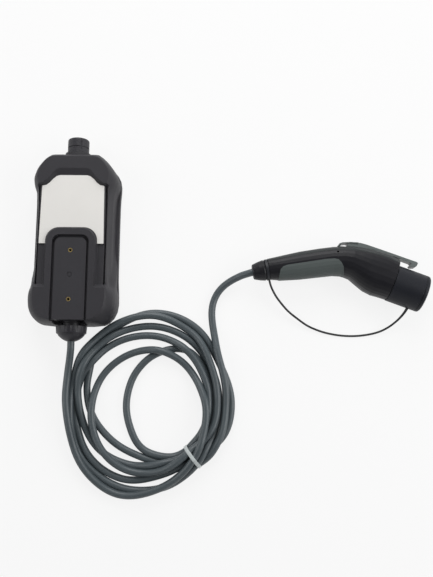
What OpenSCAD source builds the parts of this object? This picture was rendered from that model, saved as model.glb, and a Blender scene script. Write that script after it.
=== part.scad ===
// Portable EV charger: a control box lying on its face, a coiled lead and a hand-held vehicle connector.
// The floor is z = 0, +Y runs from the cable gland to the supply inlet, and +X points to the connector.

/* [Control box] */
// Length of the control box between its end walls
case_l = 230; // [215:1:250]
// Width of the control box across its lobes
case_w = 117; // [110:1:126]
// Height of the front housing, up to the joint
front_h = 14; // [13:0.5:15]
// Height of the back housing above the joint
back_h = 43; // [42:0.5:48]
// Thickness of the housing walls
wall_t = 3; // [2.5:0.1:3.2]
// How far the waist of the back housing steps in
waist_dip = 7; // [5:0.5:8]
// Depth of the label field below the head of the back housing
field_d = 5; // [4:0.5:6]
// Further depth of the two side wings
wing_d = 1.5; // [1:0.1:2]
// Width of the arched rail
arch_w = 68; // [62:1:72]
// Height of the gland and inlet axis above the floor
axis_z = 28; // [27.5:0.5:32]

/* [Wall-mount slide] */
// Width of the U-shaped slide channel, outside
slot_w = 44.4; // [42:0.2:48]
// Width of the tongue inside the channel
tongue_w = 41.2; // [38:0.2:41.6]
// Depth of the channel
slot_d = 6; // [4:0.5:6.5]
// How far the tongue lies below the rail
tongue_drop = 2; // [1:0.1:3]
// Distance between the two threaded inserts
insert_spacing = 64; // [56:1:68]
// Outside diameter of a threaded insert
insert_d = 5.8; // [5:0.1:6.4]
// Minor diameter of the insert's thread
insert_hole_d = 3.3; // [2.5:0.1:3.6]
// Length of a threaded insert
insert_l = 8; // [6:0.5:9]

/* [Cable gland] */
// Outside diameter of the domed gland nut
nut_d = 38.8; // [34:0.2:40]
// How far the gland stands out of the end wall
gland_out = 21; // [19:0.5:26]
// Diameter of the gland's threaded sleeve
sleeve_d = 24; // [21:0.5:25]

/* [Supply inlet] */
// Outside diameter of the inlet socket
inlet_d = 28.6; // [26:0.2:30]
// Wall thickness of the inlet socket
inlet_t = 3; // [2.4:0.1:3.2]
// How far the inlet stands out of the end wall
inlet_out = 23; // [21:0.5:27]
// Diameter of one inlet pin
pin_d = 3.6; // [3:0.1:4]

/* [Cable] */
// Diameter of the charging cable
cable_d = 9.6; // [9:0.1:10]
// Width of the tie's strap
tie_w = 4.4; // [3.5:0.1:6]
// Thickness of the tie's strap
tie_t = 1.2; // [0.8:0.1:1.6]

/* [Vehicle connector] */
// Length of the connector from its rear collar to its cap
gun_l = 234; // [225:1:245]
// Thickness of the connector housing across its nose
gun_t = 48.6; // [47.6:0.2:49.2]
// Wall thickness of the connector housing
gun_wall = 2.2; // [1.8:0.1:2.3]
// Droop of the nose below the handle, in degrees
nose_angle = 20; // [19:0.5:21]
// Outside diameter of the connector's barrel
barrel_d = 43.8; // [43.4:0.1:44]
// How far the barrel stands out of the housing
barrel_out = 36; // [30:0.5:38]
// Wall thickness of the barrel
barrel_t = 2.6; // [2:0.1:3]
// Depth of the soft grip insert
grip_t = 1.6; // [1.2:0.1:2]

/* [Dust cap] */
// Outside diameter of the dust cap
cap_d = 49.6; // [49.2:0.1:50.4]
// Length of the dust cap along the barrel
cap_l = 45.5; // [44:0.5:48]
// Thickness of the dust cap's end
cap_end_t = 3; // [2:0.1:4]

/* [Latch lever] */
// Width of the latch lever
lever_w = 12; // [10:0.2:13]
// Diameter of the lever's pivot pin
lever_pin_d = 3; // [2.5:0.1:3.4]
// Length of the lever's pivot pin
lever_pin_l = 22; // [20:0.5:23]

/* [Hidden] */
$fn = 48;

// Shared clearances, in millimetres
over = 1;
fit_gap = 0.05;
slip_gap = 0.3;

// Heights in the control box
top_z = front_h + back_h;
field_z = top_z - field_d;
roof_z = field_z - wall_t;
case_y = (gland_out - inlet_out) / 2;
gland_y = case_y - case_l / 2;
inlet_y = case_y + case_l / 2;

// Right half of the box outline from the gland end to the inlet end, as shares of half its width and length:
// widest x and y, back face x and y, and how much of the waist's step a point takes
case_shares = [
    [0, -1, 0, -0.957, 0],
    [0.444, -1, 0.427, -0.955, 0],
    [0.692, -0.987, 0.564, -0.935, 0],
    [0.803, -0.957, 0.65, -0.904, 0],
    [0.906, -0.9, 0.726, -0.852, 0],
    [0.974, -0.826, 0.769, -0.787, 0],
    [1, -0.739, 0.786, -0.713, 0],
    [1, -0.652, 0.786, -0.635, 0.1],
    [1, -0.565, 0.774, -0.548, 0.4],
    [1, -0.461, 0.749, -0.443, 0.85],
    [1, -0.322, 0.723, -0.304, 1],
    [1, -0.043, 0.704, -0.043, 1],
    [1, 0.252, 0.701, 0.252, 1],
    [1, 0.426, 0.701, 0.426, 0.95],
    [1, 0.53, 0.711, 0.522, 0.7],
    [1, 0.609, 0.745, 0.596, 0.3],
    [0.997, 0.678, 0.79, 0.67, 0.05],
    [0.974, 0.743, 0.793, 0.739, 0],
    [0.915, 0.804, 0.752, 0.809, 0],
    [0.812, 0.87, 0.658, 0.874, 0],
    [0.701, 0.93, 0.581, 0.911, 0],
    [0.59, 0.978, 0.504, 0.93, 0],
    [0.479, 1, 0.41, 0.937, 0],
    [0, 1, 0, 0.937, 0]];
// Share of the way from the widest outline to the back outline, by share of the back housing's height
taper_shares = [[0, 0], [0.25, 0.02], [0.5, 0.12], [0.7, 0.3], [0.85, 0.55], [0.95, 0.8], [1, 1]];
// Share of the waist's step that is left, by share of the back housing's height
dip_shares = [[0, 1], [0.25, 1.07], [0.5, 1.14], [0.7, 1.14], [0.85, 0.8], [0.95, 0.3], [1, 0]];
// Front housing's outline: height as a share, and inset as a share of its rounded edge
front_edge = 4;
front_shares = [[0, 1], [0.09, 0.4], [0.29, 0.1], [0.68, 0], [1, 0.12]];
front_dip_share = 0.22;
// Upper edge of the label field as shares of half the width and length: at its floor, then at the head
field_edge_shares = [
    [1.05, 0.578, 1.05, 0.592], [0.697, 0.584, 0.692, 0.603], [0.605, 0.591, 0.598, 0.635],
    [0.526, 0.623, 0.504, 0.687], [0.458, 0.664, 0.453, 0.723], [0.376, 0.697, 0.385, 0.762],
    [0.308, 0.708, 0.299, 0.779]];
field_end_shares = [-0.574, -0.583];
label_end_share = -0.093;
label_side_share = 0.705;
label_t = 0.5;

// Rounded tops of the arch, the channel and the tongue
arch_share = 0.087;
arch_top_y = case_y + arch_share * case_l / 2;
arch_r = 20;
slot_top_y = case_y;
slot_r = 9;
tongue_top_y = slot_top_y - (slot_w - tongue_w) / 2 - over;
tongue_r = 8;
insert_mid_share = -0.452;
insert_mid_y = case_y + insert_mid_share * case_l / 2;
mark_d = 7;
mark_depth = 0.6;
insert_boss_t = 2.5;
insert_floor_t = 2;

// Sealing ring between the housings
seal_in = 1;
seal_w = 1.1;
seal_h = 1.2;

// Screws that close the housings, entered from the face
screw_place_shares = [0.735, 0.73];
screw_x = screw_place_shares[0] * case_w / 2;
screw_y = screw_place_shares[1] * case_l / 2;
screw_d = 3.6;
screw_head_d = 7;
screw_head_h = 2.8;
screw_sink = 1.2;
screw_l = 30;
boss_d = 9;

// Indicator window in the face, and its light guides
window_w = 44;
window_h = 10;
window_share = 0.443;
window_y = case_y + window_share * case_l / 2;
window_sink = 0.4;
window_lip = 2;
window_lip_t = 1.5;
guide_d = 4;
guide_pitch = 14;

// Circuit board and the parts on it
board_side_gap = 16.5;
board_end_gap = 45;
board_w = case_w - 2 * board_side_gap;
board_l = case_l - 2 * board_end_gap;
board_t = 1.6;
board_gap = 7;
board_z = wall_t + board_gap;
board_top_z = board_z + board_t;
post_d = 6.4;
peg_d = 2.8;
peg_over = 1;
post_inset = 5;
relay_w = 16;
relay_l = 29;
relay_h = 20;
relay_gap = 4;
part_gap = 3;
sensor_d = 32;
sensor_bore_d = 16;
sensor_h = 14;
core_w = 24;
core_l = 30;
core_h = 20;
bobbin_w = 30;
bobbin_l = 16;
cap_can_d = 12;
cap_can_h = 24;
cap_can_pitch = 15;
terminal_w = 40;
terminal_l = 14;
terminal_h = 14;
terminal_pitch = 12;
terminal_bore_d = 4.4;
core_x = -board_w / 4;
cap_can_x = board_w / 4;
sensor_x = board_w / 2 - sensor_d / 2 - part_gap;
sensor_y = case_y - board_l / 2 + terminal_l + part_gap + sensor_d / 2;
relay_y = case_y - board_l / 2 + terminal_l + 8 * part_gap + relay_l / 2;
core_y = relay_y + relay_l / 2 + 4 * part_gap + core_l / 2;
cap_can_y = case_y + board_l / 2 - terminal_l - part_gap - cap_can_pitch - cap_can_d / 2;

// Gland and inlet details, along their axis from the end wall
pad_t = 4;
pad_over = 0.6;
flange_t = 3;
gland_flange_d = 35;
gland_bore_d = cable_d + 4;
gland_sleeve_out = 12;
nut_rim_out = 12.5;
nut_face_d = 15;
locknut_t = 5;
locknut_flat_r = 17;
gland_grip_l = 6;
gland_cone_d = 19;
inlet_flange_d = 34;
inlet_gasket_t = 1;
inlet_thread_d = 22;
inlet_thread_l = 12;
inlet_face = 8;
inlet_lip_r = 2.4;
inlet_ring_at = 10;
inlet_ring_w = 1.2;
inlet_ring_d = 0.8;
key_w = 1.6;
key_angle = 25;
inlet_pin_ring_d = 12;
inlet_pin_out = 17;

// Coiled part of the cable: its outer edge, drawn in at the tie, and the edge of its open middle
coil_layers_share = 2.74;
coil_h = coil_layers_share * cable_d;
coil_edge = [
    [214, -213], [205, -172], [182, -130], [153, -104], [117, -93], [84, -98], [45, -120], [19, -141],
    [2, -168], [-8, -196], [-12, -220], [-9, -246], [1, -280], [19, -309], [43, -331], [73, -340],
    [106, -336], [137, -318], [160, -304], [180, -294], [200, -271], [212, -240]];
coil_hole = [
    [77, -212], [81, -243], [97, -272], [123, -282], [148, -270], [164, -247], [172, -215], [169, -193],
    [154, -159], [127, -148], [101, -163], [85, -184]];
tie_x = 161;
tie_y = -285;
tie_angle = 37.5;
bundle_w = 33;
tie_gap = 0.3;

// Cable routes outside the coil, from the gland down to the coil and from the coil up to the connector
gun_x = 237;
gun_y = -42;
gun_z = cap_d / 2;
lead_in_route = [
    [0, gland_y - gland_out / 2, axis_z], [0, gland_y - gland_out, axis_z], [0, -147, 27.5], [-1, -157, 24],
    [-3, -168, 19], [-4, -180, 15], [-4, -193, 13], [-3, -206, 13]];
lead_out_route = [
    [186, -146, 13.5], [185, -130, 13.5], [183.5, -115, 11.5], [182, -104, 7.5], [182, -93, 5], [184, -82, 4.8],
    [188, -72, 4.8], [194, -63, 5.5], [202, -56, 8], [211, -50.5, 12], [221, -46.5, 17.5], [230, -44.2, 22.5]];
cable_sides = 10;

// Connector profile, as shares of its length: lower x and y, upper x and y, and a share of its thickness
gun_shares = [
    [0.1, -0.045, 0.081, 0.073, 0.58],
    [0.154, -0.048, 0.154, 0.09, 0.67],
    [0.265, -0.041, 0.265, 0.116, 0.73],
    [0.38, -0.027, 0.38, 0.135, 0.78],
    [0.453, -0.018, 0.453, 0.144, 0.84],
    [0.5, -0.02, 0.521, 0.147, 0.9],
    [0.547, -0.039, 0.573, 0.147, 0.95],
    [0.585, -0.073, 0.624, 0.14, 0.98],
    [0.624, -0.106, 0.671, 0.132, 1],
    [0.667, -0.129, 0.722, 0.121, 1],
    [0.705, -0.139, 0.778, 0.102, 1],
    [0.749, -0.153, 0.831, 0.072, 1]];
// Parting line below the spine, and the outline of the soft grip, as shares of the connector's length
spine_shares = [
    [0.06, 0.054], [0.175, 0.073], [0.261, 0.086], [0.346, 0.1], [0.43, 0.113], [0.515, 0.116],
    [0.6, 0.109], [0.668, 0.094], [0.74, 0.072], [0.796, 0.05], [0.85, 0.024]];
grip_shares = [
    [0.139, -0.09], [0.148, -0.024], [0.153, 0.004], [0.17, 0.021], [0.193, 0.029], [0.261, 0.039],
    [0.345, 0.052], [0.402, 0.061], [0.453, 0.064], [0.475, 0.059], [0.491, 0.041], [0.503, 0.018],
    [0.51, -0.021], [0.516, -0.09]];
skin_sides = 28;
skin_power = 0.84;
grip_proud = 0.4;

// Rear of the connector: collar, neck and clamp along the cable's axis
rear_y = -0.8;
rear_angle = 10;
collar_l = 17.5;
collar_rear_d = 21;
collar_front_d = 27.6;
collar_round = 2.5;
neck_d = 23;
neck_end = 26;
ring_w = 3.4;
ring_t = 2.6;
clamp_d = 19;
clamp_l = 10;
clamp_slot_w = 1.6;
clamp_screw_d = 3;
cable_end = 38;

// Nose of the connector, and the parts on its axis
nose_x = 0.785 * gun_l;
nose_y = -0.057 * gun_l;
barrel_in = 26;
barrel_seat = 20;
barrel_lip = 1.2;
block_recess = 3;
block_in = 8;
power_bore_d = 7;
power_hole_d = 3.6;
signal_bore_d = 4.4;
signal_hole_d = 1.6;
contact_l = 30;
// Places of the five contacts as shares of the barrel's radius: across, up, and 1 for a power contact
contact_shares = [[-0.36, 0.32, 1], [0.36, 0.32, 1], [0, -0.5, 1], [-0.58, -0.22, 0], [0.58, -0.22, 0]];
cap_gap = 0.6;
cap_round = 3;
cap_groove_at = 5;
cap_groove_w = 1;
cap_groove_d = 0.5;
lug_l = 7;
lug_w = 7;
lug_h = 4;
lug_at = 33.5;

// Way of the leads through the handle, as shares of its length
lead_shares = [[0.21, 0.026], [0.34, 0.04], [0.47, 0.05], [0.555, 0.039]];
lead_gap = 0.4;

// Screws that close the connector, entered from the side that lies down: places as shares of its length
gun_screw_shares = [[0.205, 0.06, 0.055], [0.474, 0.104, 0.07], [0.556, 0.002, 0.072]];
gun_screw_d = 2.6;
gun_screw_head_d = 5.2;
gun_screw_head_h = 2.2;
gun_boss_d = 7.4;

// Latch lever outline and its eye, as shares of the connector's length, from the rear along its top
lever_shares = [
    [0.479, 0.1455], [0.4795, 0.15], [0.494, 0.171], [0.509, 0.177], [0.555, 0.18], [0.612, 0.175],
    [0.646, 0.164], [0.726, 0.136], [0.811, 0.107], [0.895, 0.076], [0.926, 0.064], [0.934, 0.056],
    [0.932, 0.049], [0.925, 0.035], [0.917, 0.029], [0.892, 0.029], [0.889, 0.037], [0.9, 0.052],
    [0.895, 0.058], [0.856, 0.075], [0.841, 0.082], [0.81, 0.094], [0.753, 0.117], [0.68, 0.139],
    [0.612, 0.1505], [0.548, 0.149]];
eye_shares = [[0.4975, 0.1525], [0.507, 0.172], [0.531, 0.174], [0.5415, 0.167], [0.541, 0.157], [0.536, 0.153]];
pivot_x = 0.65 * gun_l;
pivot_y = 0.118 * gun_l;
lug_r = 5;
// Pocket in the spine that the rear of the lever sinks into, as shares of the connector's length
pocket_shares = [[0.47, 0.1265], [0.545, 0.129], [0.615, 0.1285], [0.69, 0.122], [0.69, 0.2], [0.47, 0.2]];
pad_w = 15;
pad_shares = [[0.4795, 0.15], [0.494, 0.171], [0.509, 0.177], [0.555, 0.18], [0.6, 0.1765], [0.595, 0.17],
    [0.555, 0.175], [0.512, 0.172], [0.499, 0.167], [0.486, 0.15]];
spring_x = 0.578 * gun_l;
spring_low_y = 0.124 * gun_l;
spring_high_y = 0.1497 * gun_l;
spring_d = 6;
spring_wire_d = 0.8;
spring_turns = 3.5;

// Latch switch below the lever's pivot
switch_x = 0.62 * gun_l;
switch_y = 0.06 * gun_l;
switch_w = 13;
switch_l = 6.5;
switch_t = 6;
switch_post_d = 4;
switch_peg_d = 2;
switch_pitch = 6.6;

// Tether between the neck ring and the dust cap
tether_d = 2.8;
tether_route = [
    [259.5, -54.5, 24.8], [262, -62, 22], [268, -73, 18.5], [276, -83, 14.5], [285, -92.5, 11],
    [296, -101, 8], [310, -110.5, 5], [322, -116, 3.4], [336, -120.5, 2.4], [354, -123.7, 1.8],
    [372, -124.6, 1.8], [390, -123, 2.2], [407, -119, 4], [421, -112, 8.5], [431, -103, 14],
    [438, -94.5, 20]];

// Outline of the control box at one height of its walls, anticlockwise from above
function case_side(t, dip, inset) = [for (p = case_shares)
    [((p[0] * (1 - t) + p[2] * t) * case_w / 2 - p[4] * dip) * (1 - 2 * inset / case_w),
     case_y + (p[1] * (1 - t) + p[3] * t) * case_l / 2 * (1 - 2 * inset / case_l)]];
function mirrored(side) = [for (i = [len(side) - 1:-1:0]) if (side[i][0] > 0) [-side[i][0], side[i][1]]];
function case_outline(t, dip, inset) =
    let (side = case_side(t, dip, inset)) concat(side, mirrored(side));
function at_height(outline, z) = [for (p = outline) [p[0], p[1], z]];
function back_outline(z, inset) =
    let (share = (z - front_h) / back_h)
    case_outline(lookup(share, taper_shares), waist_dip * lookup(share, dip_shares), inset);
function back_ring(z, inset) = at_height(back_outline(z, inset), z);
function front_ring(share) = at_height(
    case_outline(0, front_dip_share * waist_dip, share[1] * front_edge), share[0] * front_h);

// Section of the connector at one station, grown all round
function signed_power(v) = sign(v) * pow(abs(v), skin_power);
function gun_ring(p, grow) =
    let (low = [p[0], p[1]] * gun_l, high = [p[2], p[3]] * gun_l,
         mid = (low + high) / 2, half = (high - low) / 2, reach = norm(half),
         up = half / reach)
    [for (i = [0:skin_sides - 1])
        let (a = 360 * (i + 0.5) / skin_sides, v = signed_power(cos(a)) * (reach + grow),
             w = signed_power(sin(a)) * (p[4] * gun_t / 2 + grow))
        [mid[0] + up[0] * v, mid[1] + up[1] * v, w]];

// Smooth points along a hand-chosen route, and rings of a round cord around them
function curve_at(p, i, u) =
    let (a = p[max(i - 1, 0)], b = p[i], c = p[i + 1], d = p[min(i + 2, len(p) - 1)])
    (2 * b + (c - a) * u + (2 * a - 5 * b + 4 * c - d) * u * u + (3 * b - a - 3 * c + d) * u * u * u) / 2;
function smooth(p, steps) = concat(
    [for (i = [0:len(p) - 2]) for (k = [0:steps - 1]) curve_at(p, i, k / steps)], [p[len(p) - 1]]);
function smooth_loop(p, steps) =
    let (n = len(p)) [for (i = [0:n - 1]) for (k = [0:steps - 1])
        curve_at([for (j = [-1:2]) p[(i + j + n) % n]], 1, k / steps)];
function heading(p, i) =
    let (d = p[min(i + 1, len(p) - 1)] - p[max(i - 1, 0)]) d / norm(d);
function cord_ring(p, i, d, sides) =
    let (along = heading(p, i), across = cross(along, [0, 0, 1]),
         side = across / norm(across), up = cross(side, along))
    [for (k = [0:sides - 1]) let (a = 360 * k / sides) p[i] + (side * cos(a) + up * sin(a)) * d / 2];

// Closed solid through a stack of rings that run anticlockwise as seen from the last ring
module skin(rings) {
    n = len(rings[0]);
    last = len(rings) - 1;
    polyhedron(
        points = [for (ring = rings) each ring],
        faces = concat(
            [[for (i = [0:n - 1]) i]],
            [for (k = [0:last - 1]) for (i = [0:n - 1]) let (j = (i + 1) % n)
                each [[k * n + i, (k + 1) * n + i, (k + 1) * n + j], [k * n + i, (k + 1) * n + j, k * n + j]]],
            [[for (i = [n - 1:-1:0]) last * n + i]]));
}

module cord(points, d, sides) {
    skin([for (i = [0:len(points) - 1]) cord_ring(points, i, d, sides)]);
}

// Planes the children flat at two heights
module between(z0, z1) {
    intersection() {
        children();
        translate([-2 * case_l, -2 * case_l, z0]) cube([4 * case_l, 4 * case_l, z1 - z0]);
    }
}

// Children stand on the end wall, with their own Z axis pointing outwards
module on_gland() {
    translate([0, gland_y, axis_z]) rotate([90, 0, 0]) children();
}

module on_inlet() {
    translate([0, inlet_y, axis_z]) rotate([-90, 0, 0]) children();
}

// Children are drawn in the connector's own frame, with its middle plane at z = 0
module on_gun() {
    translate([gun_x, gun_y, gun_z]) children();
}

module on_rear() {
    on_gun() translate([0, rear_y, 0]) rotate([0, 0, rear_angle]) rotate([0, 90, 0]) children();
}

module on_nose() {
    on_gun() translate([nose_x, nose_y, 0]) rotate([0, 0, -nose_angle]) rotate([0, 90, 0]) children();
}

module ring_prism(d_out, d_in, z0, z1) {
    translate([0, 0, z0]) difference() {
        cylinder(h = z1 - z0, d = d_out);
        translate([0, 0, -over]) cylinder(h = z1 - z0 + 2 * over, d = d_in);
    }
}

// Door-shaped outline that runs past the gland end, with its rounded top at top_y
module arch_2d(w, top_y, r) {
    foot = gland_y - 2 * over;
    steps = 8;
    polygon(concat(
        [[-w / 2, foot], [w / 2, foot]],
        [for (i = [0:steps]) [w / 2 - r + r * cos(90 * i / steps), top_y - r + r * sin(90 * i / steps)]],
        [for (i = [0:steps]) [-w / 2 + r - r * sin(90 * i / steps), top_y - r + r * cos(90 * i / steps)]]));
}

module prism(z0, z1) {
    translate([0, 0, z0]) linear_extrude(height = z1 - z0) children();
}

module at_case_screws() {
    for (x = [-screw_x, screw_x], y = [-screw_y, screw_y]) translate([x, case_y + y, 0]) children();
}

module at_inserts() {
    for (side = [-1, 1]) translate([0, insert_mid_y + side * insert_spacing / 2, 0]) children();
}

// Label field with a sloping upper edge, open at both sides
module field_cut() {
    function side(k) = concat(
        [[1.05 * case_w / 2, case_y + field_end_shares[k] * case_l / 2]],
        [for (p = field_edge_shares) [p[2 * k] * case_w / 2, case_y + p[2 * k + 1] * case_l / 2]]);
    function edge(k) = concat(side(k), mirrored(side(k)));
    between(field_z, top_z + over) skin([
        at_height(edge(0), field_z - over), at_height(edge(0), field_z),
        at_height(edge(1), top_z), at_height(edge(1), top_z + 2 * over)]);
}

module wing_cut() {
    y0 = case_y + field_end_shares[0] * case_l / 2;
    y1 = case_y + label_end_share * case_l / 2;
    translate([-case_w, y0, field_z - wing_d]) cube([2 * case_w, y1 - y0, field_d + wing_d + over]);
}

module back_features_cut() {
    difference() {
        union() {
            field_cut();
            wing_cut();
        }
        prism(roof_z - over, top_z + 2 * over) arch_2d(arch_w, arch_top_y, arch_r);
    }
    prism(top_z - tongue_drop, top_z + over) arch_2d(slot_w, slot_top_y, slot_r);
    prism(top_z - slot_d, top_z) difference() {
        arch_2d(slot_w, slot_top_y, slot_r);
        arch_2d(tongue_w, tongue_top_y, tongue_r);
    }
    at_inserts() translate([0, 0, top_z - tongue_drop - insert_l]) cylinder(h = insert_l + over, d = insert_d);
    translate([0, insert_mid_y, top_z - tongue_drop - mark_depth]) cylinder(h = mark_depth + over, d = mark_d);
}

module back_cavity() {
    difference() {
        between(0, roof_z) skin([
            for (z = [front_h - over, front_h + 0.5 * back_h, front_h + 0.7 * back_h, roof_z + over])
                back_ring(z, wall_t)]);
        at_case_screws() cylinder(h = top_z, d = boss_d);
        at_inserts() translate([0, 0, top_z - tongue_drop - insert_l - insert_floor_t])
            cylinder(h = insert_l + insert_floor_t, d = insert_d + 2 * insert_boss_t);
        on_gland() translate([0, 0, -pad_t]) cylinder(h = 2 * pad_t, d = nut_d + 2 * pad_over);
        on_inlet() translate([0, 0, -pad_t]) cylinder(h = 2 * pad_t, d = nut_d + 2 * pad_over);
    }
}

// Flat round pads on the end walls for the gland and the inlet, kept above the joint
module end_pads() {
    difference() {
        union() {
            on_gland() translate([0, 0, -pad_t]) cylinder(h = pad_t, d = nut_d + 2 * pad_over);
            on_inlet() translate([0, 0, -pad_t]) cylinder(h = pad_t, d = inlet_flange_d + 2 * pad_over);
        }
        translate([-case_w, case_y - case_l, 0]) cube([2 * case_w, 2 * case_l, front_h]);
    }
}

module back_housing() {
    color([0.17, 0.17, 0.18]) difference() {
        union() {
            between(front_h, top_z) skin(concat(
                [at_height(back_outline(front_h, 0), front_h - over)],
                [for (share = taper_shares) back_ring(front_h + share[0] * back_h, 0)],
                [at_height(back_outline(top_z, 0), top_z + over)]));
            end_pads();
        }
        back_cavity();
        back_features_cut();
        on_gland() translate([0, 0, -pad_t - over]) cylinder(h = pad_t + 2 * over, d = sleeve_d + 2 * fit_gap);
        on_inlet() translate([0, 0, -pad_t - over])
            cylinder(h = pad_t + 2 * over, d = inlet_thread_d + 2 * fit_gap);
        at_case_screws() translate([0, 0, front_h - over]) cylinder(h = screw_l, d = screw_d + 2 * fit_gap);
        on_gland() nut_pocket();
        on_inlet() nut_pocket();
    }
}

module nut_pocket() {
    translate([0, 0, -pad_t - locknut_t - over]) cylinder(h = locknut_t + over, r = locknut_flat_r + slip_gap);
}

module seal_2d() {
    difference() {
        polygon(case_outline(0, waist_dip, seal_in));
        polygon(case_outline(0, waist_dip, seal_in + seal_w));
    }
}

module housing_seal() {
    color([0.1, 0.1, 0.1]) prism(front_h - seal_h, front_h) seal_2d();
}

module window_2d(grow) {
    square([window_w + 2 * grow, window_h + 2 * grow], center = true);
}

module at_board_posts() {
    for (x = [-1, 1], y = [-1, 1])
        translate([x * (board_w / 2 - post_inset), case_y + y * (board_l / 2 - post_inset), 0]) children();
}

module front_housing() {
    color([0.14, 0.14, 0.15]) difference() {
        union() {
            difference() {
                skin([for (share = front_shares) front_ring(share)]);
                prism(wall_t, front_h + over) polygon(case_outline(0, waist_dip, wall_t));
            }
            at_board_posts() cylinder(h = board_z, d = post_d);
            at_board_posts() cylinder(h = board_top_z + peg_over, d = peg_d);
            at_case_screws() translate([0, 0, wall_t / 2]) cylinder(h = front_h - wall_t / 2, d = boss_d);
        }
        prism(front_h - seal_h, front_h + over) seal_2d();
        translate([0, window_y, 0]) prism(-over, wall_t + over) window_2d(slip_gap / 2);
        at_case_screws() translate([0, 0, -over]) cylinder(h = front_h + 2 * over, d = screw_d + 2 * fit_gap);
        at_case_screws() translate([0, 0, -over])
            cylinder(h = over + screw_sink + screw_head_h, d = screw_head_d + slip_gap);
    }
}

module housing_screws() {
    color([0.6, 0.6, 0.62]) at_case_screws() difference() {
        union() {
            translate([0, 0, screw_sink]) cylinder(h = screw_head_h, d = screw_head_d);
            translate([0, 0, screw_sink]) cylinder(h = screw_l - screw_sink, d = screw_d);
        }
        cylinder(h = screw_sink + screw_head_h / 2, d = screw_d * 0.7, $fn = 6);
    }
}

module threaded_inserts() {
    color([0.8, 0.64, 0.3]) at_inserts() difference() {
        translate([0, 0, top_z - tongue_drop - insert_l]) cylinder(h = insert_l, d = insert_d - 2 * fit_gap);
        translate([0, 0, top_z - tongue_drop - insert_l - over])
            cylinder(h = insert_l + 2 * over, d = insert_hole_d);
    }
}

module blank_label() {
    inner = [for (i = [1:len(field_edge_shares) - 1]) field_edge_shares[i]];
    side = concat(
        [[label_side_share * case_w / 2, case_y + label_end_share * case_l / 2]],
        [for (p = inner) [p[0] * case_w / 2, case_y + p[1] * case_l / 2 - slip_gap]]);
    color([0.91, 0.9, 0.88]) difference() {
        prism(field_z, field_z + label_t) polygon(concat(side, mirrored(side)));
        prism(field_z - over, top_z) arch_2d(arch_w + slip_gap, arch_top_y + slip_gap, arch_r);
    }
}

module indicator_window() {
    color([0.6, 0.62, 0.64, 0.7]) translate([0, window_y, 0]) {
        prism(window_sink, wall_t) window_2d(0);
        prism(wall_t, wall_t + window_lip_t) window_2d(window_lip);
    }
}

module light_guides() {
    color([0.9, 0.95, 0.95, 0.6]) for (i = [-1:1])
        translate([i * guide_pitch, window_y, wall_t + window_lip_t])
            cylinder(h = board_z - wall_t - window_lip_t, d = guide_d);
}

module main_board() {
    color([0.1, 0.35, 0.2]) difference() {
        translate([-board_w / 2, case_y - board_l / 2, board_z]) cube([board_w, board_l, board_t]);
        at_board_posts() translate([0, 0, board_z - over]) cylinder(h = board_t + 2 * over, d = peg_d + 2 * fit_gap);
    }
}

module relays() {
    color([0.1, 0.25, 0.55]) for (side = [-1, 1])
        translate([core_x + side * (relay_w + relay_gap) / 2 - relay_w / 2, relay_y - relay_l / 2, board_top_z])
            cube([relay_w, relay_l, relay_h]);
}

module leakage_sensor() {
    color([0.15, 0.15, 0.17]) translate([sensor_x, sensor_y, 0])
        ring_prism(sensor_d, sensor_bore_d, board_top_z, board_top_z + sensor_h);
}

module supply_transformer() {
    color([0.75, 0.6, 0.3]) translate([core_x, core_y, board_top_z]) {
        translate([-core_w / 2, -core_l / 2, 0]) cube([core_w, core_l, core_h]);
        translate([-bobbin_w / 2, -bobbin_l / 2, 0]) cube([bobbin_w, bobbin_l, core_h * 0.8]);
    }
}

module capacitors() {
    color([0.12, 0.2, 0.3]) for (i = [-1:1])
        translate([cap_can_x, cap_can_y + i * cap_can_pitch, board_top_z]) cylinder(h = cap_can_h, d = cap_can_d);
}

module terminal_block(y) {
    difference() {
        translate([-terminal_w / 2, y - terminal_l / 2, board_top_z]) cube([terminal_w, terminal_l, terminal_h]);
        for (i = [-1:1]) translate([i * terminal_pitch, y, board_top_z + terminal_h / 2])
            rotate([90, 0, 0]) cylinder(h = 2 * terminal_l, d = terminal_bore_d, center = true);
    }
}

module output_terminals() {
    color([0.15, 0.5, 0.25]) terminal_block(case_y - board_l / 2 + terminal_l / 2);
}

module input_terminals() {
    color([0.15, 0.5, 0.25]) terminal_block(case_y + board_l / 2 - terminal_l / 2);
}

module gland_body() {
    color([0.12, 0.12, 0.13]) on_gland() difference() {
        union() {
            cylinder(h = flange_t, d = gland_flange_d);
            translate([0, 0, -pad_t - locknut_t - over]) cylinder(h = pad_t + locknut_t + over, d = sleeve_d);
            cylinder(h = gland_sleeve_out, d = sleeve_d);
        }
        translate([0, 0, -pad_t - locknut_t - 2 * over])
            cylinder(h = pad_t + locknut_t + gland_sleeve_out + 3 * over, d = gland_bore_d);
    }
}

// Domed nut: a ribbed rim, then a dome down to the cable hole
module gland_nut() {
    r = nut_d / 2;
    dome_h = gland_out - nut_rim_out;
    ribs = 16;
    rib_d = 2.2;
    steps = 6;
    dome = [for (i = [1:steps]) let (a = 90 * i / steps)
        [nut_face_d / 2 + (r - nut_face_d / 2) * cos(a), nut_rim_out + dome_h * sin(a)]];
    color([0.13, 0.13, 0.14]) on_gland() difference() {
        rotate_extrude() polygon(concat(
            [[sleeve_d / 2 + fit_gap, flange_t], [r, flange_t], [r, nut_rim_out]], dome,
            [[cable_d / 2 + slip_gap, gland_out], [cable_d / 2 + slip_gap, gland_out - flange_t],
             [gland_cone_d / 2 + fit_gap, gland_sleeve_out + fit_gap],
             [sleeve_d / 2 + fit_gap, gland_sleeve_out + fit_gap]]));
        for (i = [0:ribs - 1]) rotate([0, 0, 360 * (i + 0.5) / ribs]) translate([r + rib_d / 4, 0, flange_t - over])
            cylinder(h = nut_rim_out - flange_t, d = rib_d);
    }
}

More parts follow.
